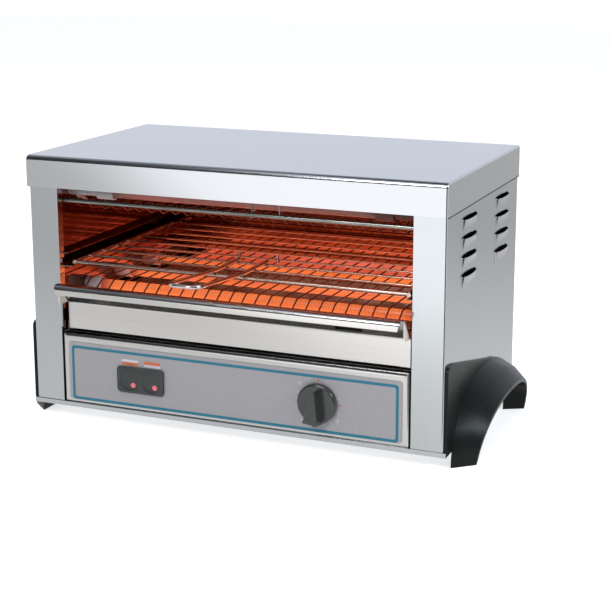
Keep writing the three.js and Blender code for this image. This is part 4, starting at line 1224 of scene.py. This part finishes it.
# %% Tubes
lower_rows = {"front": 72, "middle": 146, "rear": 220}
upper_rows = {"front": 40, "middle": 146, "rear": 252}
banks = {
    "lower": (132, lower_rows, 205, "quartz_hot", "quartz_lower"),
    "upper": (254, upper_rows, 166, "quartz_dim", "quartz_upper"),
}
for bank, (z, rows, cap_x, finish, slot) in banks.items():
    reach = cap_x + 11.7
    for row, y in rows.items():
        tube = bar_along_x(f"tube_{bank}_{row}", -reach, reach, y, z, 6, 32)
        faces(tube, lambda p, n: abs(n.x) > 0.9)
        bpy.ops.mesh.inset(thickness=1.3 * mm, use_individual=True)
        bpy.ops.mesh.bridge_edge_loops()
        hand_over(smooth(tube, 50), finish, slot, f"quartz_tube_{bank}_{row}")

# %% Caps
cap_length, cap_end = 22.4, 236


def cap(name, inner, y, z):
    piece = bar_along_x(name, inner, inner + cap_length, y, z, 8.5, 32)
    faces(piece, lambda p, n: n.x > 0.9)
    inset(3.0)
    pull(cap_end - inner - cap_length, 0, 0)
    faces(piece, lambda p, n: n.x < -0.9)
    inset(2.2)
    pull(12, 0, 0)
    soften(piece, 0.6, 3, 40)
    return smooth(piece, 40)


for bank, (z, rows, cap_x, finish, slot) in banks.items():
    for row, y in rows.items():
        right = cap(f"cap_{bank}_{row}_right", cap_x, y, z)
        left = copied(right, f"cap_{bank}_{row}_left")
        left.scale = (-1, 1, 1)
        settle(left)
        faces(left, lambda p, n: True)
        face_outward()
        for side, piece in (("right", right), ("left", left)):
            # The upper bank's right-hand caps are painted darker and red for the shade and glow where they
            # sit; all caps are the same white ceramic.
            clay = "ceramic_warm" if (bank, side) == ("upper", "right") else "ceramic_white"
            hand_over(piece, clay, "ceramic", f"ceramic_cap_{bank}_{row}_{side}")

# %% [markdown]
# The upper tubes hang in nickel clips, one bent strip at each end. An edge is carried along the
# strip's path and then thickened.

# %% Clips of the upper tubes
for row, y in upper_rows.items():
    for side, out in sides.items():
        nothing_selected()
        bpy.ops.mesh.primitive_plane_add(size=1, location=at(out * 224, y, 277))
        clip = fresh(f"element_clip_{row}_{side}", (2 * mm, 13 * mm, 1))
        edges(clip, lambda p, d: (p.x - out * 224) * -out > 0.5)
        pull(0, 0, -9)
        turning = Tip(at(out * 223, y, 268), Vector((0, 0, -1)))
        turning.wind(Vector((0, out, 0)), 52, 28, 8)
        turning.run(8)
        merge_doubles()
        face_outward()
        with_modifier(clip, "SOLIDIFY", thickness=0.9 * mm, offset=0)
        smooth(clip, 40)
        # The clips' pale cream is partly painted light, against the shade under the lid.
        hand_over(clip, "nickel_cream", "chrome_wire")

# %% [markdown]
# ## Feet
# Each foot is one moulding: a plate against the side and an arched fender that stands out from it.
# The drawing has its curve in flat steps, so a merged copy is smoothed and its rim rounded.

# %% Mould the feet
for side in sides:
    foot = copy_of("foot_" + side, "foot_skin_" + side)
    clear_flats(foot, 0.5, 1)
    soften(foot, 1.2, 3, 38)
    smooth(foot, 38)
    hand_over(foot, "foot_charcoal", "foot_plastic", "foot_" + side)

# %% [markdown]
# ## Screws
# Pan-head screws hold the rear panel and the lid. One is turned from a short cylinder with a
# rounded head and a cross pressed into it, and then copied to each hole.

# %% Turn one screw and copy it
slot_half, slot_width = 2.2, 0.45
head = round_bar("screw", Vector((0, 0, 0)), Vector((0, 0, 2.4 * mm)), 3.9, 32)
faces(head, lambda p, n: n.z > 0.9)
inset(0.6)
shift(0, 0, 0.35)
mode("OBJECT")
for x, y in ((slot_half, slot_width), (slot_width, slot_half)):
    low, high = Vector((-x * mm, -y * mm, 1.4 * mm)), Vector((x * mm, y * mm, 4 * mm))
    cut_out(head, block("cross_cutter", low, high))
soften(head, 0.2, 2, 35)
smooth(head, 40)
screw_places = [(x, 293.0, z) for x in (-253, 253) for z in (22, 142, 262)]
screw_places += [(x, lid_rear, 281) for x in (-200, 0, 200)]
for number, place in enumerate(screw_places, 1):
    piece = copied(head, f"screw_{number}")
    piece.location = at(*place)
    piece.rotation_euler = (math.radians(-90), 0, 0)
    hand_over(settle(piece), "rear_steel", STEEL)
bpy.data.objects.remove(head)

# %% [markdown]
# ## The rest of the solids
# What is left of the drawing already has its true shape: mirrors, rails, deck, coils, the timer's
# case and the terminal block. These nodes only get their finish.

# %% Finish the remaining nodes


def dress(finish, *names):
    for name in names:
        mesh = nodes[name].data
        mesh.materials.clear()
        mesh.materials.append(bpy.data.materials[finish])
    print(finish, "on", len(names))


dress("mirror_wall", "chamber_wall_left", "chamber_wall_right", "chamber_rear_wall")
dress("sooty_ceiling", "ceiling_reflector")
dress("inner_steel", "control_deck", "timer_shaft")
dress("rail_steel", "rack_rail_left", "rack_rail_right", "tray_runner_left", "tray_runner_right")
dress("timer_case", "timer_body")
dress("ceramic_white", "terminal_block")
dress("gland_black", "cable_gland", "switch_body_left", "switch_body_right")
dress("coil_hot", *[f"heating_coil_lower_{row}" for row in lower_rows])
dress("coil_dim", *[f"heating_coil_upper_{row}" for row in upper_rows])

# %% [markdown]
# ## Finish

# %% The last line
nothing_selected()
